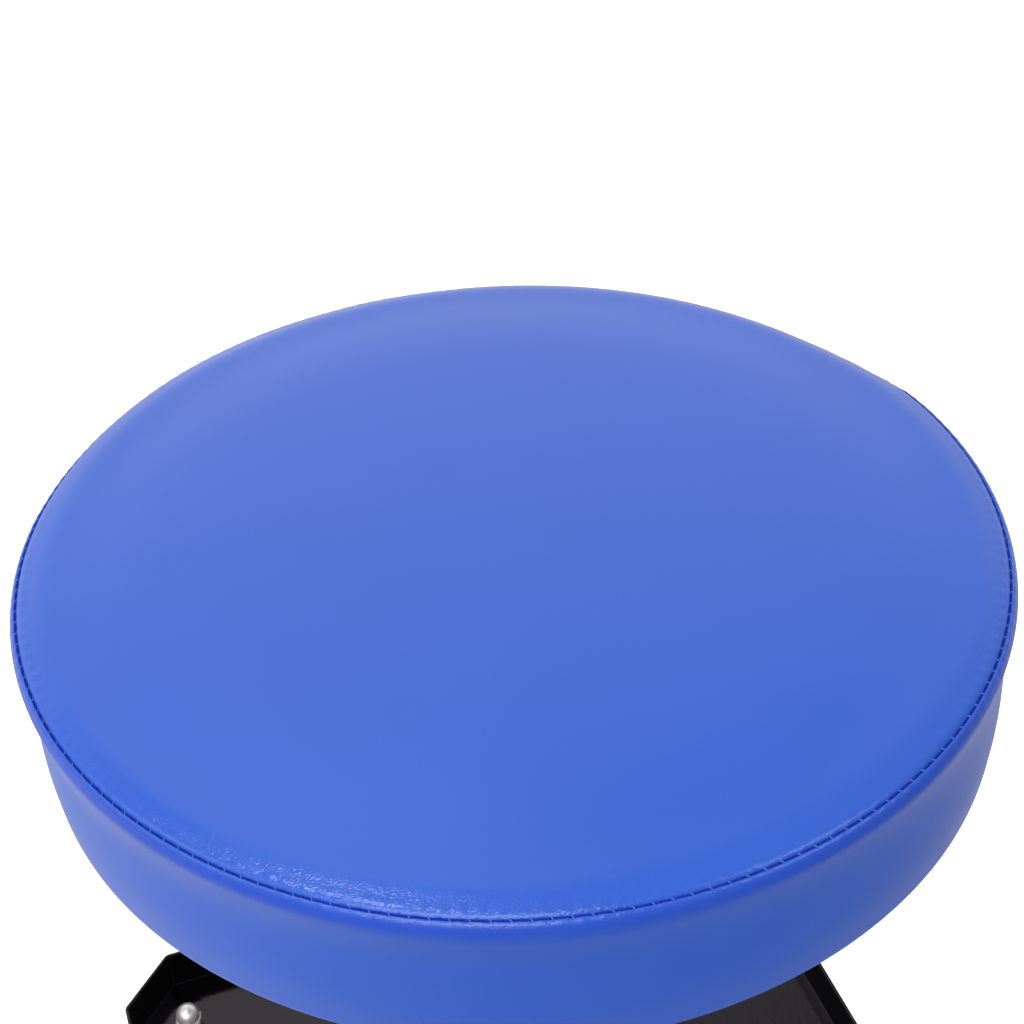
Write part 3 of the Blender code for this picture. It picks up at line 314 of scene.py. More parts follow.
def painted(name, colour, gloss, tint):
    """Powder coat: gloss with a faint orange peel and a little dust in the colour."""
    stops = ((0.35, colour), (0.75, scaled(colour, 1.35, 0.0002)))
    return surface(name, (35.0, 4.0), stops, (gloss * 0.85, gloss * 1.2), (420.0, 0.10, 0.0003),
                   Specular_Tint=(*tint, 1.0))


def metal(name, colour, rough, streak, depth, bare=1.0):
    """Plated or ground metal with fine streaks and slight smudges."""
    stops = ((0.3, scaled(colour, 0.86)), (0.7, colour))
    return surface(name, (55.0, 5.0), stops, (rough * 0.75, rough * 1.3), (streak, depth, 0.0002), Metallic=bare)


def plastic(name, colour, rough, grain=900.0, depth=0.12):
    """Moulded plastic with a fine spark-eroded texture."""
    stops = ((0.35, colour), (0.7, scaled(colour, 1.25, 0.003)))
    return surface(name, (40.0, 4.0), stops, (rough * 0.9, rough * 1.15), (grain, depth, 0.0002))


def plywood(name):
    """Pale plywood face with long grain."""
    made, net, shader = material(name)
    stretch = net.add("Mapping", Vector=net.spot["Object"], Scale=(6.0, 90.0, 90.0)).outputs["Vector"]
    grain = net.noise(1.0, 6.0, stretch, Distortion=1.4)
    stops = ((0.32, (0.30, 0.19, 0.10)), (0.52, (0.50, 0.35, 0.20)), (0.72, (0.60, 0.45, 0.28)))
    net.fill(shader, Base_Color=net.ramp(grain, *stops), Normal=net.bump(grain, 0.25, 0.0004), Roughness=0.72)
    return made


def sewing_thread(name, colour):
    """Twisted sewing thread."""
    made, net, shader = material(name)
    strands = net.noise(2600.0, 2.0)
    net.fill(shader, Base_Color=net.ramp(strands, (0.35, scaled(colour, 0.6)), (0.65, colour)),
             Normal=net.bump(strands, 0.4, 0.0002), Roughness=0.6, Specular_IOR_Level=0.2)
    return made


def seam_shadow(name, deep, pale):
    """Painted shade for the inside of the seam, where the vinyl's cut edges meet."""
    made, net, shader = material(name)
    net.fill(shader, Base_Color=net.ramp(net.noise(900.0, 2.0), (0.35, deep), (0.65, pale)), Roughness=0.9,
             Specular_IOR_Level=0.08)
    return made


LOOKS = {
    "vinyl": vinyl("vinyl_blue", VINYL_BLUE),
    "seam": seam_shadow("vinyl_seam_shadow", (0.010, 0.030, 0.36), (0.018, 0.050, 0.50)),
    "thread": sewing_thread("thread_blue", (0.07, 0.20, 0.78)),
    "black": painted("black_gloss_coat", (0.0009, 0.0009, 0.0011), 0.11, (0.97, 0.89, 1.0)),
    "chrome": metal("chrome_plate", (0.82, 0.82, 0.84), 0.09, 500.0, 0.02),
    "zinc": metal("zinc_plated", (0.66, 0.67, 0.68), 0.30, 700.0, 0.10),
    "nut": metal("zinc_satin", (0.94, 0.90, 0.88), 0.36, 700.0, 0.08, 0.70),
    "steel": metal("ground_steel", (0.56, 0.56, 0.58), 0.26, 900.0, 0.10),
    "plastic": plastic("black_moulded", (0.016, 0.016, 0.017), 0.46),
    "white": plastic("natural_moulded", (0.74, 0.74, 0.70), 0.45),
    "wheel": plastic("wheel_moulded", (0.020, 0.020, 0.021), 0.50, 600.0, 0.10),
    "rubber": plastic("black_rubber", (0.022, 0.022, 0.022), 0.80, 500.0, 0.2),
    "foam": plastic("foam_cream", (0.76, 0.70, 0.54), 0.95, 350.0, 0.6),
    "board": plywood("plywood_face"),
}
SLOT_LOOKS = {
    "blue_vinyl": "vinyl", "foam": "foam", "plywood": "board", "black_steel": "black", "chrome": "chrome",
    "zinc_plate": "zinc", "bright_steel": "steel", "black_plastic": "plastic", "white_plastic": "white",
    "rubber": "rubber", "wheel_plastic": "wheel",
}


# Making pieces
def piece(name, verts, faces, look, body, place=None, smooth=True, angle=40.0):
    """A mesh object in its place, shaded smooth across shallow edges, that rides on a body."""
    if place is not None:
        verts = [place @ Vector(v) for v in verts]
    mesh = bpy.data.meshes.new(name)
    mesh.from_pydata([tuple(v) for v in verts], [], faces)
    bm = bmesh.new()
    bm.from_mesh(mesh)
    bmesh.ops.remove_doubles(bm, verts=bm.verts, dist=1e-7)
    bmesh.ops.recalc_face_normals(bm, faces=bm.faces)
    bm.to_mesh(mesh)
    bm.free()
    if smooth:
        mesh.shade_smooth()
        mesh.set_sharp_from_angle(angle=math.radians(angle))
    mesh.materials.append(LOOKS[look])
    made = put(name, mesh)
    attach(made, body)
    return made


def put(name, data):
    """A new object in the scene."""
    made = bpy.data.objects.new(name, data)
    bpy.context.scene.collection.objects.link(made)
    return made


def stands_for(made, *nodes):
    """Hides these CAD nodes, whose place the piece takes; the piece itself is not used."""
    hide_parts(*nodes)


def soften(profile, radius=EDGE, steps=2, closed=True):
    """Rounds the corners of an outline of (radius, height) points."""
    points = [Vector(point) for point in profile]
    count = len(points)
    out = []
    for i, here in enumerate(points):
        before, after = points[i - 1], points[(i + 1) % count]
        on_axis = here.x < 1e-6
        if on_axis or (not closed and i in (0, count - 1)):
            out.append(tuple(here))
            continue
        back, on = before - here, after - here
        size = min(radius, 0.4 * back.length, 0.4 * on.length)
        turn = back.angle(on, 0.0) if back.length > 0 and on.length > 0 else math.pi
        if turn > math.radians(155) or size <= 0:
            out.append(tuple(here))
            continue
        first, last = here + back.normalized() * size, here + on.normalized() * size
        for k in range(steps + 1):
            t = k / steps
            out.append(tuple(first * (1 - t) ** 2 + here * 2 * t * (1 - t) + last * t**2))
    return out


def spun(profile, segments, closed=True):
    """Vertices and faces of an outline spun about Z."""
    verts, faces = [], []
    count = len(profile)
    for k in range(segments):
        angle = 2 * math.pi * k / segments
        verts += [(r * math.cos(angle), r * math.sin(angle), z) for r, z in profile]
    for k in range(segments):
        near, far = k * count, (k + 1) % segments * count
        for i in range(count if closed else count - 1):
            j = (i + 1) % count
            if profile[i][0] < 1e-9 and profile[j][0] < 1e-9:
                continue
            if profile[i][0] < 1e-9:
                faces.append((near + i, near + j, far + j))
            elif profile[j][0] < 1e-9:
                faces.append((near + i, near + j, far + i))
            else:
                faces.append((near + i, near + j, far + j, far + i))
    return verts, faces


def turned(name, profile, look, body, place=None, segments=FINE, edge=EDGE):
    """A turned piece about Z with broken edges, moved to its place."""
    return piece(name, *spun(soften(profile, edge), segments), look, body, place)


def ring_skin(rings, closed=False, caps=False):
    """Vertices and faces of a skin over rings of equal point counts."""
    count = len(rings[0])
    verts = [point for ring in rings for point in ring]
    faces = []
    for k in range(len(rings) if closed else len(rings) - 1):
        near, far = k * count, (k + 1) % len(rings) * count
        for i in range(count):
            j = (i + 1) % count
            faces.append((near + i, near + j, far + j, far + i))
    if caps:
        faces.append(tuple(range(count)))
        faces.append(tuple(range(len(verts) - count, len(verts))))
    return verts, faces


def joined(skins):
    """Vertices and faces of several skins in one."""
    verts, faces = [], []
    for more, skin in skins:
        faces += [tuple(len(verts) + v for v in face) for face in skin]
        verts += more
    return verts, faces


def circle(radius, height):
    angles = [2 * math.pi * k / SMALL for k in range(SMALL)]
    return [(radius * math.cos(a), radius * math.sin(a), height) for a in angles]


def hexagon(flats, height):
    ring = []
    for x, y, z in circle(1.0, height):
        angle = math.atan2(y, x)
        off_middle = (angle + math.pi / 6) % (math.pi / 3) - math.pi / 6
        reach = flats / 2 / math.cos(off_middle)
        ring.append((x * reach, y * reach, z))
    return ring


def loop(centre, first, second, radius, count):
    """Points of a circle in the plane of two directions."""
    turns = [2 * math.pi * k / count for k in range(count)]
    return [centre + (first * math.cos(t) + second * math.sin(t)) * radius for t in turns]


def arc(centre, radius, start, sweep=90.0, steps=6):
    """Points of an arc in a plane, from a start in degrees."""
    angles = [math.radians(start + sweep * k / steps) for k in range(steps + 1)]
    return [(centre[0] + radius * math.cos(a), centre[1] + radius * math.sin(a)) for a in angles]


def rounded(corners, radius, steps=6):
    """A convex outline with each corner rounded. Corners run anticlockwise."""
    points = []
    for i, corner in enumerate(corners):
        here = Vector(corner)
        back = (Vector(corners[i - 1]) - here).normalized()
        on = (Vector(corners[(i + 1) % len(corners)]) - here).normalized()
        half = math.acos(max(-1.0, min(1.0, back.dot(on)))) / 2
        centre = here + (back + on).normalized() * (radius / math.sin(half))
        first = here + back * (radius / math.tan(half)) - centre
        last = here + on * (radius / math.tan(half)) - centre
        sweep = math.atan2(first.x * last.y - first.y * last.x, first.dot(last))
        for k in range(steps + 1):
            points.append(tuple(centre + Matrix.Rotation(sweep * k / steps, 2) @ first))
    return points


def sheet_section(depth, sheet, bend):
    """The bent edge of a pressed sheet as (inset, height), from its floor's underside up and back down inside."""
    lip = soften([(0.0, depth - sheet), (0.0, depth), (sheet, depth), (sheet, depth - sheet)], sheet * 0.4, 3, False)
    return arc((bend, bend), bend, 270.0, -90.0) + lip + arc((bend, bend), bend - sheet, 180.0)


def tube_along(points, radius, sides=20):
    """Vertices and faces of a round bar along a route, with rounded ends."""
    route = [Vector(p) for p in points]
    last = len(route) - 1
    rounding = (0.25, 0.7, 0.95)
    rings = []
    for i, here in enumerate(route):
        along = (route[min(i + 1, last)] - route[max(i - 1, 0)]).normalized()
        across = along.cross(Vector((0, 1, 0))).normalized()
        other = across.cross(along).normalized()
        shares = [(0.0, 1.0)]
        if i == 0:
            shares = [(math.sqrt(1 - s * s) * -0.5, s) for s in rounding] + shares
        if i == last:
            shares = shares + [(math.sqrt(1 - s * s) * 0.5, s) for s in reversed(rounding)]
        for shift, share in shares:
            rings.append(loop(here + along * (shift * radius), across, other, radius * share, sides))
    return ring_skin(rings, caps=True)


def smooth_route(points, per_span):
    """Points on a smooth curve through a given route."""
    points = [Vector(p) for p in points]
    ends = [points[0] * 2 - points[1], *points, points[-1] * 2 - points[-2]]
    route = []
    for a, b, c, d in zip(ends, ends[1:], ends[2:], ends[3:]):
        for k in range(per_span):
            t = k / per_span
            route.append(0.5 * (2 * b + (c - a) * t + (2 * a - 5 * b + 4 * c - d) * t**2
                                + (3 * b - a - 3 * c + d) * t**3))
    return [*route, points[-1]]


# The cushion
def cushion_profile():
    """The cushion's section as (radius, height over the seam), from the middle of the top round to the hem."""
    edge = [(40.0, 4.72), (26.0, 4.40), (18.0, 4.20), (14.0, 4.05), (11.0, 3.90), (9.0, 3.72), (7.0, 3.36), (5.0, 2.76),
            (3.4, 2.05), (1.8, 1.05)]   # millimetres inward from the seam, and over it
    top = [(0.060, CROWN * 0.985), (0.075, CROWN * 0.97), (0.090, CROWN * 0.955), (0.115, CROWN * 0.91)]
    top += [(SEAM_RADIUS - 0.001 * inward, 0.001 * height) for inward, height in edge]
    seam = [(SEAM_RADIUS - GROOVE_HALF, -0.0001), (SEAM_RADIUS - 0.5 * GROOVE_HALF, -GROOVE_DEPTH),
            (SEAM_RADIUS + 0.5 * GROOVE_HALF, -GROOVE_DEPTH), (SEAM_RADIUS + GROOVE_HALF, -FOLD_DROP - 0.0006)]
    fold = [(SEAM_RADIUS + 0.0007, -FOLD_DROP), (SEAM_RADIUS + 0.0011, -FOLD_DROP - 0.0001),
            (SEAM_RADIUS + 0.0017, -0.0011), (seat_radius - 0.0006, -0.0023), (seat_radius - 0.0001, -0.0038),
            (seat_radius, -0.0053)]
    band = [(0.1766, -0.0076), (0.1760, -0.0104), (0.1755, -0.0138), (0.1751, -0.0175), (0.1750, -0.0225),
            (0.1752, -0.0285), (0.1755, -0.0345), (0.1757, -0.0405), (0.1757, -0.0465), (BAND_LOW, -0.0525)]
    band += arc((BAND_LOW - SEAT_FOOT, SEAT_FOOT - band_height), SEAT_FOOT, -15.0, -75.0, 5)
    hem = [(radius, -band_height) for radius in (0.160, 0.150, 0.140, HEM_RADIUS)]
    hem.append((HEM_RADIUS - 0.0002, HEM_TURN - band_height))
    return top, seam, fold, band, hem


def close_middle(verts, faces, ring, height):
    """Closes a ring of points with coarser and coarser rings towards its middle."""
    for share, count in ((0.7, STITCHES), (0.35, STITCHES // 4)):
        step = len(ring) // count
        inner = list(range(len(verts), len(verts) + count))
        for k in range(count):
            x, y, _ = verts[ring[k * step]]
            verts.append((x * share, y * share, height))
        for k in range(count):
            outer = [ring[(k * step + j) % len(ring)] for j in range(step + 1)]
            faces.append((inner[k], *outer, inner[(k + 1) % count]))
        ring = inner
    middle = len(verts)
    verts.append((0.0, 0.0, height))
    faces += [(middle, here, ring[(k + 1) % len(ring)]) for k, here in enumerate(ring)]


def smooth_step(t):
    t = max(0.0, min(1.0, t))
    return t * t * (3 - 2 * t)


def sag(bearing):
    """Drop of the seam at a bearing in degrees, counted from -60."""
    for (start, low), (stop, high) in zip(SAG, SAG[1:]):
        if start <= bearing <= stop:
            return 0.001 * (low + (high - low) * smooth_step((bearing - start) / (stop - start)))
    return 0.0


def settled(point):
    """A point of the true cushion, moved to where it lies on this one."""
    x, y, z = point
    radius = math.hypot(x, y)
    turn = math.radians(TRAY_TURN)
    bearing = math.atan2(y, x) + turn
    depth = seam_height - z
    here = (math.degrees(bearing) + 60) % 360 - 60
    drop = sag(here)
    soft = smooth_step((here - SOFT_SAG[0]) / (SOFT_SAG[1] - SOFT_SAG[0]))
    soft *= smooth_step((SOFT_SAG[3] - here) / (SOFT_SAG[3] - SOFT_SAG[2]))
    gentle = max(0.0, min(1.0, (radius - 0.160) / 0.0154)) ** 2
    share = soft * gentle + (1 - soft) * smooth_step((radius - 0.1712) / 0.0022)
    if depth > SAG_DEPTH:
        share = max(0.0, 1.0 - (depth - SAG_DEPTH) / SAG_FADE)
    tight = RIM_TIGHT * (0.5 - 0.5 * math.cos(bearing - 0.44)) ** 1.5 * math.exp(-((depth - 0.004) / 0.006) ** 2)
    tight *= smooth_step((radius - SEAM_RADIUS) / (seat_radius - SEAM_RADIUS))
    swell = 0.0
    if depth < 0 and here > 90:
        swell = (1 - soft) * BULGE * drop / 0.005 * math.exp(-((radius - 0.1722) / 0.003) ** 2)
    grown = max(radius - tight + swell, 0.0)
    aside = OFF_CENTRE + BAND_SLIP * smooth_step((depth - 0.005) / 0.015)
    out_x = grown * math.cos(bearing) + aside
    out_y = grown * math.sin(bearing)
    return Vector((out_x * math.cos(turn) + out_y * math.sin(turn), out_y * math.cos(turn) - out_x * math.sin(turn),
                   z - drop * share))


def ring_of(point):
    """Radius and height of a point, which its whole ring shares."""
    return round(math.hypot(point[0], point[1]), 6), round(point[2], 6)


def puffed(verts, faces, pinned):
    """The cover after a short pressure simulation: it swells between the points that are sewn or stapled down."""
    scene = bpy.context.scene
    mesh = bpy.data.meshes.new("cushion_form")
    mesh.from_pydata(verts, [], faces)
    form = put("cushion_form", mesh)
    form.vertex_groups.new(name="held").add(pinned, 1.0, "REPLACE")
    cloth = form.modifiers.new("Cloth", "CLOTH")
    rules = cloth.settings
    rules.quality = 6
    rules.mass = 0.4
    rules.tension_stiffness = 40.0
    rules.compression_stiffness = 40.0
    rules.bending_stiffness = 4.0
    rules.vertex_group_mass = "held"
    rules.use_pressure = True
    rules.uniform_pressure_force = 4.0
    rules.effector_weights.gravity = 0.0
    cloth.collision_settings.use_collision = False
    cloth.point_cache.frame_start = 1
    cloth.point_cache.frame_end = PUFF_FRAMES
    for number in range(1, PUFF_FRAMES + 1):
        scene.frame_set(number)
    swelled = form.evaluated_get(bpy.context.evaluated_depsgraph_get()).to_mesh()
    # Moves are evened out round each ring, because the foam under the cover leaves no radial folds.
    rings = {}
    for rest, point in zip(verts, swelled.vertices):
        outward = Vector((rest[0], rest[1], 0.0)).normalized()
        move = Vector(point.co) - Vector(rest)
        rings.setdefault(ring_of(rest), []).append((move.dot(outward), move.z))
    means = {ring: Vector((sum(m[0] for m in moves), sum(m[1] for m in moves))) / len(moves)
             for ring, moves in rings.items()}
    out = []
    for rest in verts:
        mean = means[ring_of(rest)]
        mean = mean * min(1.0, PUFF_CAP / max(mean.length, 1e-9))
        outward = Vector((rest[0], rest[1], 0.0)).normalized()
        out.append(Vector(rest) + outward * mean.x + Vector((0.0, 0.0, mean.y)))
    bpy.data.objects.remove(form)
    scene.frame_set(1)
    return out


def make_cushion():
    """The sewn cover over its foam, and the board under it."""
    top, seam, fold, band, hem = cushion_profile()
    profile = top + seam + fold + band + hem
    first_seam, last_fold = len(top), len(top) + len(seam) + len(fold)
    count, first_hem = len(profile), len(profile) - len(hem)
    verts, faces = spun([(r, seam_height + z) for r, z in profile], AROUND, closed=False)
    sewn = len(verts)
    close_middle(verts, faces, [k * count for k in range(AROUND)], seam_height + CROWN)
    close_middle(verts, faces, [k * count + count - 1 for k in range(AROUND)], seam_height + profile[-1][1])
    held = [k * count + i for k in range(AROUND) for i in range(count)
            if first_seam - 1 <= i < last_fold - 1 or i >= first_hem - 1]
    verts = puffed(verts, faces, held)
    out = []
    for number, (x, y, z) in enumerate(verts):
        if number >= sewn:
            out.append(settled((x, y, z)))
            continue
        k, i = divmod(number, count)
        radius = math.hypot(x, y)
        shift = 2 * math.pi / STITCHES * STITCH_SHIFT * (0, 1, 0, -1)[k % 4]
        angle = 2 * math.pi * k / AROUND + shift
        x, y = x * math.cos(shift) - y * math.sin(shift), x * math.sin(shift) + y * math.cos(shift)
        scale = 1.0
        if i < last_fold:
            stitch = 0.5 + 0.5 * math.cos(angle * STITCHES)
            near = math.exp(-((radius - SEAM_RADIUS) / PUCKER_REACH) ** 2)
            z -= PUCKER * near * (stitch - 0.4)
        elif i < first_hem:
            wave = 0.00025 * math.sin(3 * angle + 0.6) + 0.00018 * math.sin(7 * angle + 2.1)
            scale = (radius + wave) / radius
        elif i < count - 1:
            inward = (HEM_START - radius) / (HEM_START - HEM_RADIUS)
            z -= HEM_GATHER * inward * (0.5 + 0.5 * math.sin(angle * 63 + 1.3 * math.sin(angle * 11)))
        if first_seam <= i < first_seam + len(seam):
            scale = (SEAM_RADIUS + (radius - SEAM_RADIUS) * GROOVE_SHARES[k % 4]) / radius
        out.append(settled((x * scale, y * scale, z)))
    made = piece("cushion_cover", out, faces, "vinyl", "seat", angle=70.0)
    fine = made.modifiers.new("Fine", "SUBSURF")
    fine.levels = 1
    fine.render_levels = 1
    stands_for(made, "seat_cover", "foam_pad")

    low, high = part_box("seat_board")
    profile = [(0.0, low.z), (BOARD_RADIUS - BOARD_EDGE, low.z), (BOARD_RADIUS, low.z + BOARD_EDGE),
               (BOARD_RADIUS, high.z), (0.0, high.z)]
    stands_for(turned("board_disc", profile, "board", "seat"), "seat_board")


def make_seam():
    """A strip of painted shade in the seam's gap between stitches, and the threads that cross it."""
    profile = [(-0.95, -0.0009), (-0.8, -0.0005), (0.0, -0.0009), (0.9, -0.0013), (0.5, -0.0018), (-0.5, -0.0018)]
    verts, faces = spun([(SEAM_RADIUS + GROOVE_HALF * reach, seam_height + lift) for reach, lift in profile], AROUND)
    # The dark strip paints the shade inside the groove.
    piece("seam_gap_shade", [settled(v) for v in verts], faces, "seam", "seat")
    skins = []
    for k in range(STITCHES):
        angle = 2 * math.pi * k / STITCHES
        out = Vector((math.cos(angle), math.sin(angle), 0.0))
        sideways = Vector((-out.y, out.x, 0.0))
        rings = []
        for reach, lift, share in THREAD:
            here = out * (SEAM_RADIUS + reach * GROOVE_HALF) + UP * (seam_height + lift)
            ring = loop(here + sideways * (THREAD_SLANT * reach), sideways, UP, THREAD_RADIUS * share, 8)
            rings.append([settled(point) for point in ring])
        skins.append(ring_skin(rings, caps=True))
    piece("seam_thread", *joined(skins), "thread", "seat")


def make_staples():
    """Wire staples that hold the hem to the board, not quite evenly set."""
    skins = []
    for k in range(STAPLES):
        angle = 2 * math.pi * (k + 0.35 * math.sin(2.3 * k)) / STAPLES
        reach = HEM_RADIUS + STAPLE_REACH + 0.0015 * math.sin(1.7 * k)
        out = Vector((math.cos(angle), math.sin(angle), 0))
        lean = math.radians(12 * math.sin(3.1 * k))
        along = Matrix.Rotation(lean, 3, "Z") @ Vector((-out.y, out.x, 0))
        across = UP.cross(along)
        middle = out * reach + UP * (seat_low.z - STAPLE_PROUD)
        rings = [[middle + along * shift + across * a + UP * (lift + b) for a, b in STAPLE_WIRE]
                 for shift, lift in STAPLE]
        skins.append(ring_skin(rings, caps=True))
    piece("hem_staples", *joined(skins), "zinc", "seat", smooth=False)


# The mechanism under the seat
def make_mechanism():
    low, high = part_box("seat_plate")
    rings = []
    for inset, height in sheet_section(high.z - low.z, PLATE_SHEET, 2 * PLATE_SHEET):
        corners = [(high.x - inset, inset - high.y), (high.x - inset, high.y - inset)]
        corners += [(-x, -y) for x, y in corners]
        outline = rounded(corners, max(PLATE_CORNER - inset, 0.001))
        rings.append([(x, y, high.z - height) for x, y in outline])
    stands_for(piece("mount_plate", *ring_skin(rings, caps=True), "black", "seat"), "seat_plate")

    low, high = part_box("mechanism_housing")
    half, deep, bend, thin = high.y, high.z - low.z, HOUSING_BEND, HOUSING_BEND - PLATE_SHEET
    left, right = (bend - half, bend), (half - bend, bend)
    outline = [(-half, deep), *arc(left, bend, 180.0), *arc(right, bend, 270.0), (half, deep)]
    outline += [(half - PLATE_SHEET, deep), *arc(right, thin, 360.0, -90.0), *arc(left, thin, 270.0, -90.0),
                (PLATE_SHEET - half, deep)]
    rings = [[(x, y, low.z + z) for y, z in outline] for x in (low.x, high.x)]
    made = piece("lever_housing", *ring_skin(rings, caps=True), "black", "seat", angle=30.0)
    edge = made.modifiers.new("Edges", "BEVEL")
    edge.width = EDGE
    edge.segments = 2
    edge.limit_method = "ANGLE"
    stands_for(made, "mechanism_housing")

    weld_height = low.z
    low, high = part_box("taper_collar")
    profile = [(TUBE_BORE, low.z), (high.x, low.z), (high.x, high.z), (TUBE_BORE, high.z)]
    stands_for(turned("spring_collar", profile, "black", "seat"), "taper_collar")
    rings = []
    for k in range(160):
        angle = 2 * math.pi * k / 160
        swell = COLLAR_BEAD * (1 + 0.12 * math.sin(angle * 46) + 0.08 * math.sin(angle * 17 + 1))
        out = Vector((math.cos(angle), math.sin(angle), 0.0))
        rings.append(loop(out * high.x + UP * weld_height, out, UP, swell, 10))
    piece("collar_weld", *ring_skin(rings, closed=True), "black", "seat", angle=60.0)

    for number in range(1, 5):
        low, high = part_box(f"seat_bolt_{number}")
        centre = (low + high) / 2
        head, top = low.z, low.z + BOLT_HEAD
        washer, shank = BOLT_FLATS * 0.62, 0.003
        rings = [circle(BOLT_FLATS * 0.42, head), hexagon(BOLT_FLATS * 0.93, head),
                 hexagon(BOLT_FLATS, head + 0.0007), hexagon(BOLT_FLATS, top - 0.0009),
                 circle(washer, top - 0.0008), circle(washer, top),
                 circle(shank, top), circle(shank, high.z)]
        place = Matrix.Translation((centre.x, centre.y, 0))
        made = piece(f"plate_bolt_{number}", *ring_skin(rings, caps=True), "zinc", "seat", place, angle=28.0)
        stands_for(made, f"seat_bolt_{number}")


def make_lever():
    pivot = Vector(joints["lever_tilt"]["pos_m"])
    grip_low, grip_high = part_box("lever_grip")
    rod_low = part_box("lever_rod")[0]
    length, wide = grip_high.x - grip_low.x, (grip_high.z - grip_low.z) / 2
    drop = (grip_low.z + grip_high.z) / 2 - pivot.z
    straight = grip_low.x - pivot.x
    route = [(rod_low.x - pivot.x, 0, 0), (-0.5 * pivot.x, 0, 0), (0, 0, 0), (0.22 * straight, 0, 0.10 * drop),
             (0.60 * straight, 0, 0.62 * drop), (straight, 0, drop)]
    line = smooth_route(route, 8) + [Vector((straight + 0.9 * length, 0, drop))]
    bar = tube_along([pivot + point for point in line], LEVER_RADIUS)
    stands_for(piece("lever_bar", *bar, "zinc", "lever", angle=50.0), "lever_rod")
    lie = Matrix.Translation(pivot) @ Matrix.Rotation(math.pi / 2, 4, "X")
    bore, outer, half = 0.0034, 0.0072, 0.012
    boss = [(bore, -half), (outer, -half), (outer, half), (bore, half)]
    turned("lever_sleeve", boss, "zinc", "lever", lie, SMALL)

    profile = [(LEVER_RADIUS, 0.0), (wide * 0.78, 0.0), (wide * 0.90, length * 0.03)]
    for k in range(1, 24):
        t = k / 24
        swell = 0.86 + 0.14 * math.sin(math.pi * min(t * 0.66, 1.0)) - 0.03 * math.exp(-((t - 0.2) / 0.12) ** 2)
        rib = 0.018 if k % 3 == 0 and 5 < k < 19 else 0.0
        profile.append((wide * (swell - rib), length * (0.03 + 0.89 * t)))
    profile += [(wide * 0.88, length * 0.95), (wide * 0.66, length * 0.985), (wide * 0.3, length), (0.0, length),
                (0.0, length * 0.93), (LEVER_RADIUS, length * 0.93)]
    lay = Matrix.Translation((grip_low.x, 0, pivot.z + drop)) @ Matrix.Rotation(math.pi / 2, 4, "Y")
    stands_for(turned("lever_handle", profile, "plastic", "lever", lay, SMALL), "lever_grip")

    low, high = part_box("lever_pivot_pin")
    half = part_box("mechanism_housing")[1].y
    profile = [(0, low.y), (PIN_HEAD * 0.7, low.y), (PIN_HEAD, low.y + 0.0008), (PIN_HEAD, -half), (PIN_RADIUS, -half),
               (PIN_RADIUS, high.y - 0.0005), (PIN_RADIUS - 0.0005, high.y), (0, high.y)]
    across = Matrix.Translation((pivot.x, 0, pivot.z)) @ Matrix.Rotation(-math.pi / 2, 4, "X")
    stands_for(turned("lever_pin", profile, "zinc", "seat", across, SMALL), "lever_pivot_pin")


# The gas spring and the column
def make_column():
    low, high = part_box("pressure_tube")
    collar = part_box("taper_collar")[0].z
    wide, bore, mouth = high.x, high.x - TUBE_WALL, 0.0052
    profile = [(bore, low.z), (wide, low.z), (wide, collar), (wide - 0.0007, high.z - 0.001), (wide - 0.0015, high.z),
               (mouth, high.z), (mouth, high.z - 0.006), (bore, high.z - 0.006)]
    stands_for(turned("spring_tube", profile, "chrome", "seat"), "pressure_tube")

    low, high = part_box("release_button")
    wide, foot = BUTTON_RADIUS, low.z + BUTTON_RISE
    profile = [(0, foot), (wide * 0.6, foot), (wide * 0.6, high.z - 0.016), (wide, high.z - 0.015),
               (wide, high.z - 0.002), (wide * 0.8, high.z - 0.0008), (wide * 0.4, high.z - 0.0001), (0, high.z)]
    stands_for(turned("valve_button", profile, "plastic", "button", None, SMALL), "release_button")

    low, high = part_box("guide_bush")
    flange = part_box("column_tube")[1].z + 0.0003
    wide, inner = high.x, 0.0227
    profile = [(BUSH_BORE, low.z), (inner, low.z), (inner, flange), (wide, flange), (wide, high.z - 0.0012),
               (wide - 0.0012, high.z), (BUSH_BORE + 0.0014, high.z), (BUSH_BORE, high.z - 0.0014)]
    stands_for(turned("column_bush", profile, "plastic", "base"), "guide_bush")

    low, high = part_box("column_tube")
    hub_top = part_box("hub_socket")[1].z
    wide, bore, taper, floor = high.x, high.x - TUBE_WALL, 0.0014, low.z + 0.003
    profile = [(COLUMN_BORE, low.z), (wide - taper, low.z), (wide, hub_top), (wide, high.z), (bore, high.z),
               (bore, hub_top), (bore - taper, floor), (COLUMN_BORE, floor)]
    stands_for(turned("column_sleeve", profile, "black", "base", None, FINE, 0.0006), "column_tube")

    low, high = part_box("hub_socket")
    profile = [(HUB_BORE - 0.0012, low.z), (high.x, low.z), (high.x, high.z), (HUB_BORE, high.z)]
    stands_for(turned("hub_ring", profile, "black", "base", None, FINE, 0.0008), "hub_socket")


# The tray and the base
def tray_plan(half, inset):
    """The tray's outline, a square with clipped corners, at an inset from its wall's outside."""
    wide = half - inset
    clip = TRAY_CLIP - 2 * inset * (math.sqrt(2) - 1)
    short = wide - clip / math.sqrt(2)
    corners = []
    for quarter in range(4):
        turn = Matrix.Rotation(quarter * math.pi / 2, 2)
        corners += [tuple(turn @ Vector(p)) for p in ((wide, -short), (wide, short))]
    return rounded(corners, max(TRAY_CORNER - inset, 0.0015))


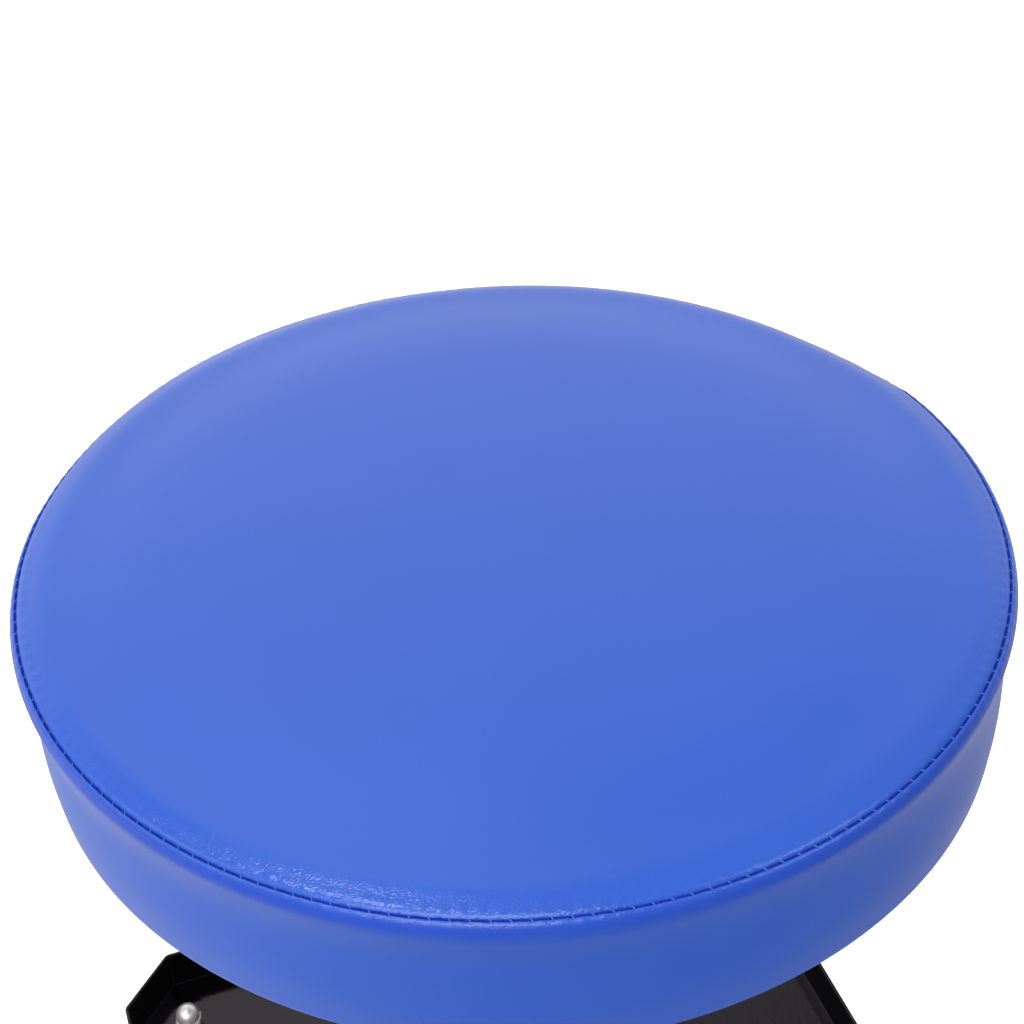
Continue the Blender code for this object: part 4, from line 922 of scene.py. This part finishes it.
def make_tray():
    low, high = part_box("tool_tray")
    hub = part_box("hub_socket")[1].x
    rings = [[(x, y, low.z + height) for x, y in tray_plan(high.x, inset)]
             for inset, height in sheet_section(high.z - low.z, TRAY_SHEET, TRAY_BEND)]
    floor = [Vector((x, y, 0)).normalized() * (hub + HUB_GAP) for x, y, _ in rings[-1]]
    for height in (low.z + TRAY_SHEET, low.z):
        rings.append([point + UP * height for point in floor])
    stands_for(piece("tray_pan", *ring_skin(rings, closed=True), "black", "base", angle=50.0), "tool_tray")

    for number in range(1, 5):
        turn = Matrix.Rotation(math.radians(45 + 90 * (number - 1)), 4, "Z")
        low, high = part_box(f"cross_arm_{number}")
        near = hub - 0.001
        far = Vector((max(abs(low.x), high.x), max(abs(low.y), high.y), 0)).length - ARM_HALF
        corners = [(-ARM_HALF, low.z), (ARM_HALF, low.z), (ARM_HALF, high.z), (-ARM_HALF, high.z)]
        section = rounded(corners, ARM_CORNER)
        rings = []
        for reach, inset in ((near, 0.0), (far - 0.0012, 0.0), (far - 0.0004, 0.0003), (far, 0.0011)):
            narrow, flat = 1 - inset / ARM_HALF, 1 - 2 * inset / (high.z - low.z)
            rings.append([(reach, y * narrow, low.z + (z - low.z) * flat + inset) for y, z in section])
        made = piece(f"base_arm_{number}", *ring_skin(rings, caps=True), "black", "base", turn)
        stands_for(made, f"cross_arm_{number}")
        bead = [Vector((math.sqrt(max(near**2 - y**2, 0)) + 0.0016, y, z)) for y, z in section]
        rings = []
        for i, here in enumerate(bead):
            along = (bead[(i + 1) % len(bead)] - bead[i - 1]).normalized()
            out = Vector((here.x, here.y, 0)).normalized()
            size = ARM_BEAD * (1 + 0.15 * math.sin(i * 2.6))
            rings.append(loop(here, out, along.cross(out).normalized(), size, 10))
        made = piece(f"arm_weld_{number}", *ring_skin(rings, closed=True), "black", "base", turn, angle=60.0)


def make_caster(number):
    """One corner: the nut in the tray, and the caster's stem, cup, fork, axle and wheel under it."""
    stem_at = Vector(joints[f"caster_swivel_{number}"]["pos_m"])
    centre = Vector(joints[f"wheel_spin_{number}"]["pos_m"])
    body, rolling = f"caster_{number}", f"wheel_{number}"
    heading = Matrix.Rotation(math.atan2(centre.y - stem_at.y, centre.x - stem_at.x), 4, "Z")
    at_stem = Matrix.Translation((stem_at.x, stem_at.y, 0))
    axle_place = Matrix.Translation(centre) @ heading @ Matrix.Rotation(math.pi / 2, 4, "X")

    low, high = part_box(f"cap_nut_{number}")
    place = Matrix.Translation((stem_at.x, stem_at.y, low.z))
    place = place @ Matrix.Rotation(math.radians(45 * number + 10), 4, "Z")
    rings = [hexagon(NUT_FLATS * 0.95, 0.0), hexagon(NUT_FLATS, 0.0006),
             hexagon(NUT_FLATS, NUT_HEX - 0.0011), hexagon(NUT_FLATS * 0.97, NUT_HEX - 0.0006),
             circle(NUT_FLATS * 0.505, NUT_HEX - 0.0002), circle(NUT_DOME, NUT_HEX)]
    for radius, height in arc((0.0, high.z - low.z - NUT_DOME), NUT_DOME, 0.0, 90.0, 12)[1:]:
        rings.append(circle(max(radius, 0.0002), height))
    made = piece(f"dome_nut_{number}", *ring_skin(rings, caps=True), "nut", "base", place, angle=28.0)
    stands_for(made, f"cap_nut_{number}")

    low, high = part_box(f"caster_stem_{number}")
    cup_low, cup_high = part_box(f"swivel_cup_{number}")
    head = high.x - stem_at.x
    profile = [(0, low.z), (head * 0.6, low.z), (head * 0.9, low.z + 0.0006), (head, low.z + 0.0014),
               (head, low.z + 0.0024), (STEM_PIN, low.z + 0.0025), (STEM_PIN, cup_high.z), (STEM_SHANK, cup_high.z),
               (STEM_SHANK, high.z - 0.001), (STEM_SHANK - 0.001, high.z), (0, high.z)]
    stands_for(turned(f"stem_{number}", profile, "zinc", "base", at_stem, SMALL), f"caster_stem_{number}")

    wide, top, bore = cup_high.x - stem_at.x, cup_high.z, STEM_PIN + 0.0003
    skirt = wide - 0.0018
    profile = [(bore, top - 0.0022), (skirt - 0.0014, top - 0.0022), (skirt, top - 0.0034), (skirt, cup_low.z),
               (wide, cup_low.z), (wide, top - 0.0016), (wide - 0.0016, top), (bore, top)]
    stands_for(turned(f"race_cup_{number}", profile, "zinc", "base", at_stem, FINE), f"swivel_cup_{number}")

    make_fork(number, at_stem @ heading, body, stem_at.z, centre.z)

    out, rivet, thick = -RIVET_OUT, RIVET_RADIUS, RIVET_HEAD
    profile = [(0, out - thick), (rivet * 0.5, out - thick * 0.96), (rivet * 0.85, out - thick * 0.6),
               (rivet, out - thick * 0.1), (rivet, out), (PIN_RADIUS, out)]
    profile += [(r, -z) for r, z in reversed(profile)]
    stands_for(turned(f"axle_rivet_{number}", profile, "zinc", body, axle_place, SMALL), f"caster_axle_{number}")

    wide, tread, hub, web = WHEEL_HALF, centre.z, WHEEL_HUB, WHEEL_WEB
    rim = tread - 0.006
    upper = [(0.0034, 0.0105), (hub - 0.0008, 0.0105), (hub, 0.0098), (hub + 0.0012, web + 0.0008), (hub + 0.002, web),
             (rim - 0.0012, web), (rim - 0.0002, web + 0.0008), (rim + 0.0008, wide - 0.0004), (rim + 0.0014, wide),
             (tread - 0.0032, wide), (tread - 0.0016, wide - 0.0006), (tread - 0.0006, wide - 0.0016),
             (tread - 0.0001, wide - 0.0032), (tread, wide - 0.0060), (tread, 0.0006), (tread - 0.00015, 0.0)]
    profile = upper + [(r, -z) for r, z in reversed(upper[:-1])]
    made = piece(f"wheel_{number}_moulding", *spun(profile, FINE), "wheel", rolling, axle_place)
    stands_for(made, f"caster_wheel_{number}")
    skins = []
    for k in range(WHEEL_SPOKES):
        spin = Matrix.Rotation(2 * math.pi * k / WHEEL_SPOKES, 4, "Z")
        for side in (1, -1):
            low, high, half = side * (web - 0.0005), side * (web + 0.0026), SPOKE_HALF
            section = [(-half, low), (half, low), (half * 0.7, high), (-half * 0.7, high)]
            rings = [[spin @ Vector((radius, y, z)) for y, z in section] for radius in (hub - 0.0005, rim + 0.0005)]
            skins.append(ring_skin(rings, caps=True))
    made = piece(f"wheel_{number}_ribs", *joined(skins), "wheel", rolling, axle_place, smooth=False)


def make_fork(number, place, body, crown_top, wheel_radius):
    """The caster's pressed yoke: crown, folded shoulders and two legs that taper to the axle."""
    crown_low = crown_top - FORK_SHEET
    crown, race, bore = CROWN_RADIUS, RACE_RADIUS, STEM_PIN + 0.0004
    profile = [(bore, crown_low), (crown - 0.0004, crown_low), (crown, crown_low + 0.0004), (crown, crown_top - 0.0006),
               (crown - 0.0006, crown_top), (race + 0.003, crown_top), (race + 0.0015, crown_top + 0.0032),
               (race - 0.0015, crown_top + 0.0032), (race - 0.003, crown_top), (bore, crown_top)]
    turned(f"yoke_crown_{number}", profile, "zinc", body, place)

    knee = crown_low - 0.2 * (crown_low - wheel_radius)
    outline = [(FORK_FRONT, knee), *arc((CASTER_TRAIL, wheel_radius), FORK_EYE, 200.0, 180.0, 12),
               (FORK_BACK + 0.002, knee)]
    middle = Vector((CASTER_TRAIL * 0.45, 0.5 * (knee + wheel_radius)))
    skins = []
    for side in (1, -1):
        rings = []
        for depth, inset in ((FORK_IN, 0.0), (FORK_OUT - 0.0003, 0.0), (FORK_OUT, 0.0005)):
            ring = []
            for point in outline:
                pull = Vector(point) - middle
                spot = middle + pull * (1 - inset / max(pull.length, 1e-6))
                ring.append((spot.x, side * depth, spot.y))
            rings.append(ring)
        skins.append(ring_skin(rings, caps=True))

    def shoulder(wide, top, bend):
        """One side of the folded sheet over the wheel, from a leg's knee up to the middle, and then the other."""
        half = [(wide, knee - 0.0005), *arc((wide - bend, top - bend), bend, 0.0)]
        return half + [(-y, z) for y, z in reversed(half)]

    top = crown_top - 0.0005
    section = shoulder(FORK_OUT, top, FORK_BEND) + shoulder(FORK_IN, top - FORK_SHEET, FORK_BEND - FORK_SHEET)[::-1]
    rings = [[(x, y, z) for y, z in section] for x in (FORK_FRONT, FORK_BACK + 0.001)]
    skins.append(ring_skin(rings, caps=True))
    stands_for(piece(f"yoke_{number}", *joined(skins), "zinc", body, place, angle=35.0), f"caster_fork_{number}")


def dress_nodes():
    """The CAD nodes that stay get the material of their slot."""
    for name, node in frame["nodes"].items():
        look = LOOKS[SLOT_LOOKS[slots[name]]]
        if not node.material_slots:
            node.data.materials.append(look)
        for place in node.material_slots:
            place.material = look


# The studio
def make_camera():
    """The fitted camera, turned so that the tray lies along the frame's axes."""
    elevation, pitch = math.radians(CAMERA_ELEVATION), math.radians(CAMERA_PITCH)
    yaw, roll = math.radians(CAMERA_YAW), math.radians(CAMERA_ROLL)
    place = Vector((CAMERA_SIDE, -CAMERA_DISTANCE * math.cos(elevation), CAMERA_DISTANCE * math.sin(elevation)))
    right, ahead = Vector((1, 0, 0)), Vector((0, math.cos(pitch), -math.sin(pitch)))
    down = ahead.cross(right)
    turn = Matrix.Rotation(yaw, 3, down)
    ahead, right = turn @ ahead, turn @ right
    lean = Matrix.Rotation(roll, 3, ahead)
    right, down = lean @ right, lean @ down
    right, down, ahead, place = (SPIN @ vector for vector in (right, down, ahead, place))
    columns = Matrix((right, -down, -ahead)).transposed().to_4x4()
    data = bpy.data.cameras.new("camera")
    data.sensor_width = SENSOR
    data.sensor_fit = "HORIZONTAL"
    data.lens = FOCAL_PIXELS / IMAGE_SIZE * SENSOR
    data.clip_start = 0.05
    made = put("camera", data)
    aside = SPIN @ Vector((OFF_CENTRE, 0, 0))
    made.matrix_world = Matrix.Translation(place + aside + UP * seam_height) @ columns
    bpy.context.scene.camera = made


def lamp(name, place, target, size, power):
    data = bpy.data.lights.new(name, "AREA")
    data.shape = "RECTANGLE"
    data.size, data.size_y = size
    data.energy = power
    made = put(name, data)
    made.location = place
    made.rotation_euler = (target - place).to_track_quat("-Z", "Y").to_euler()


def make_world():
    """A white backdrop for the camera. Other rays see a dim studio, brighter behind the stool and to its left."""
    world = bpy.data.worlds.new("studio")
    bpy.context.scene.world = world
    net = Net(world)
    place = net.spot["Generated"]
    ceiling = net.towards(place, UP, CEILING_START, CEILING_END)
    behind = net.towards(place, SPIN @ Vector((0, 1, 0)), 0.0, 1.0)
    left = net.towards(place, SPIN @ Vector((-1, 0, 0)), -1.0, 1.0)
    panel = net.towards(place, SPIN @ Vector(PANEL), PANEL_START, PANEL_END)
    wall = net.number("MULTIPLY_ADD", behind, WALL_BEHIND, WALL_PLAIN)
    wall = net.number("MULTIPLY_ADD", left, WALL_LEFT, wall)
    light = net.number("MULTIPLY", wall, net.number("SUBTRACT", 1.0, ceiling))
    light = net.number("MULTIPLY_ADD", ceiling, CEILING_LIGHT, light)
    light = net.number("MULTIPLY_ADD", panel, PANEL_LIGHT, light)
    white = net.add("LightPath").outputs["Is Camera Ray"]
    light = net.number("MULTIPLY_ADD", net.number("SUBTRACT", 1.0, white), light, white)
    net.fill(net.nodes["Background"], Color=(1, 1, 1, 1), Strength=light)


def make_floor():
    """A white floor that keeps the stool's shadow."""
    made, net, shader = material("floor_white")
    back = net.towards(net.spot["Object"], SPIN @ Vector(FLOOR_BACK), -0.7, 0.1)
    path = net.add("LightPath").outputs
    mirrored = net.number("MAXIMUM", path["Is Glossy Ray"], path["Is Transmission Ray"])
    glow = net.number("MULTIPLY", path["Is Camera Ray"], FLOOR_GLOW)
    glow = net.number("MULTIPLY_ADD", mirrored, net.number("MULTIPLY", back, FLOOR_SHEEN), glow)
    colour = net.ramp(back, (0.0, (FLOOR_FRONT,) * 3), (1.0, (FLOOR_WHITE,) * 3))
    net.fill(shader, Base_Color=colour, Roughness=0.7, Specular_IOR_Level=0.2, Emission_Color=(1, 1, 1, 1),
             Emission_Strength=glow)
    half = FLOOR_HALF
    mesh = bpy.data.meshes.new("floor")
    mesh.from_pydata([(-half, -half, 0), (half, -half, 0), (half, half, 0), (-half, half, 0)], [], [(0, 1, 2, 3)])
    mesh.materials.append(made)
    put("floor", mesh)


def make_studio():
    bpy.context.scene.view_settings.view_transform = "Standard"
    make_world()
    make_floor()
    aim = UP * seam_height
    for name, offset, size, power in LAMPS:
        lamp(name, aim + SPIN @ Vector(offset), aim, size, power)


make_camera()
dress_nodes()
make_cushion()
make_seam()
make_staples()
make_mechanism()
make_lever()
make_column()
make_tray()
for corner in range(1, 5):
    make_caster(corner)
make_studio()
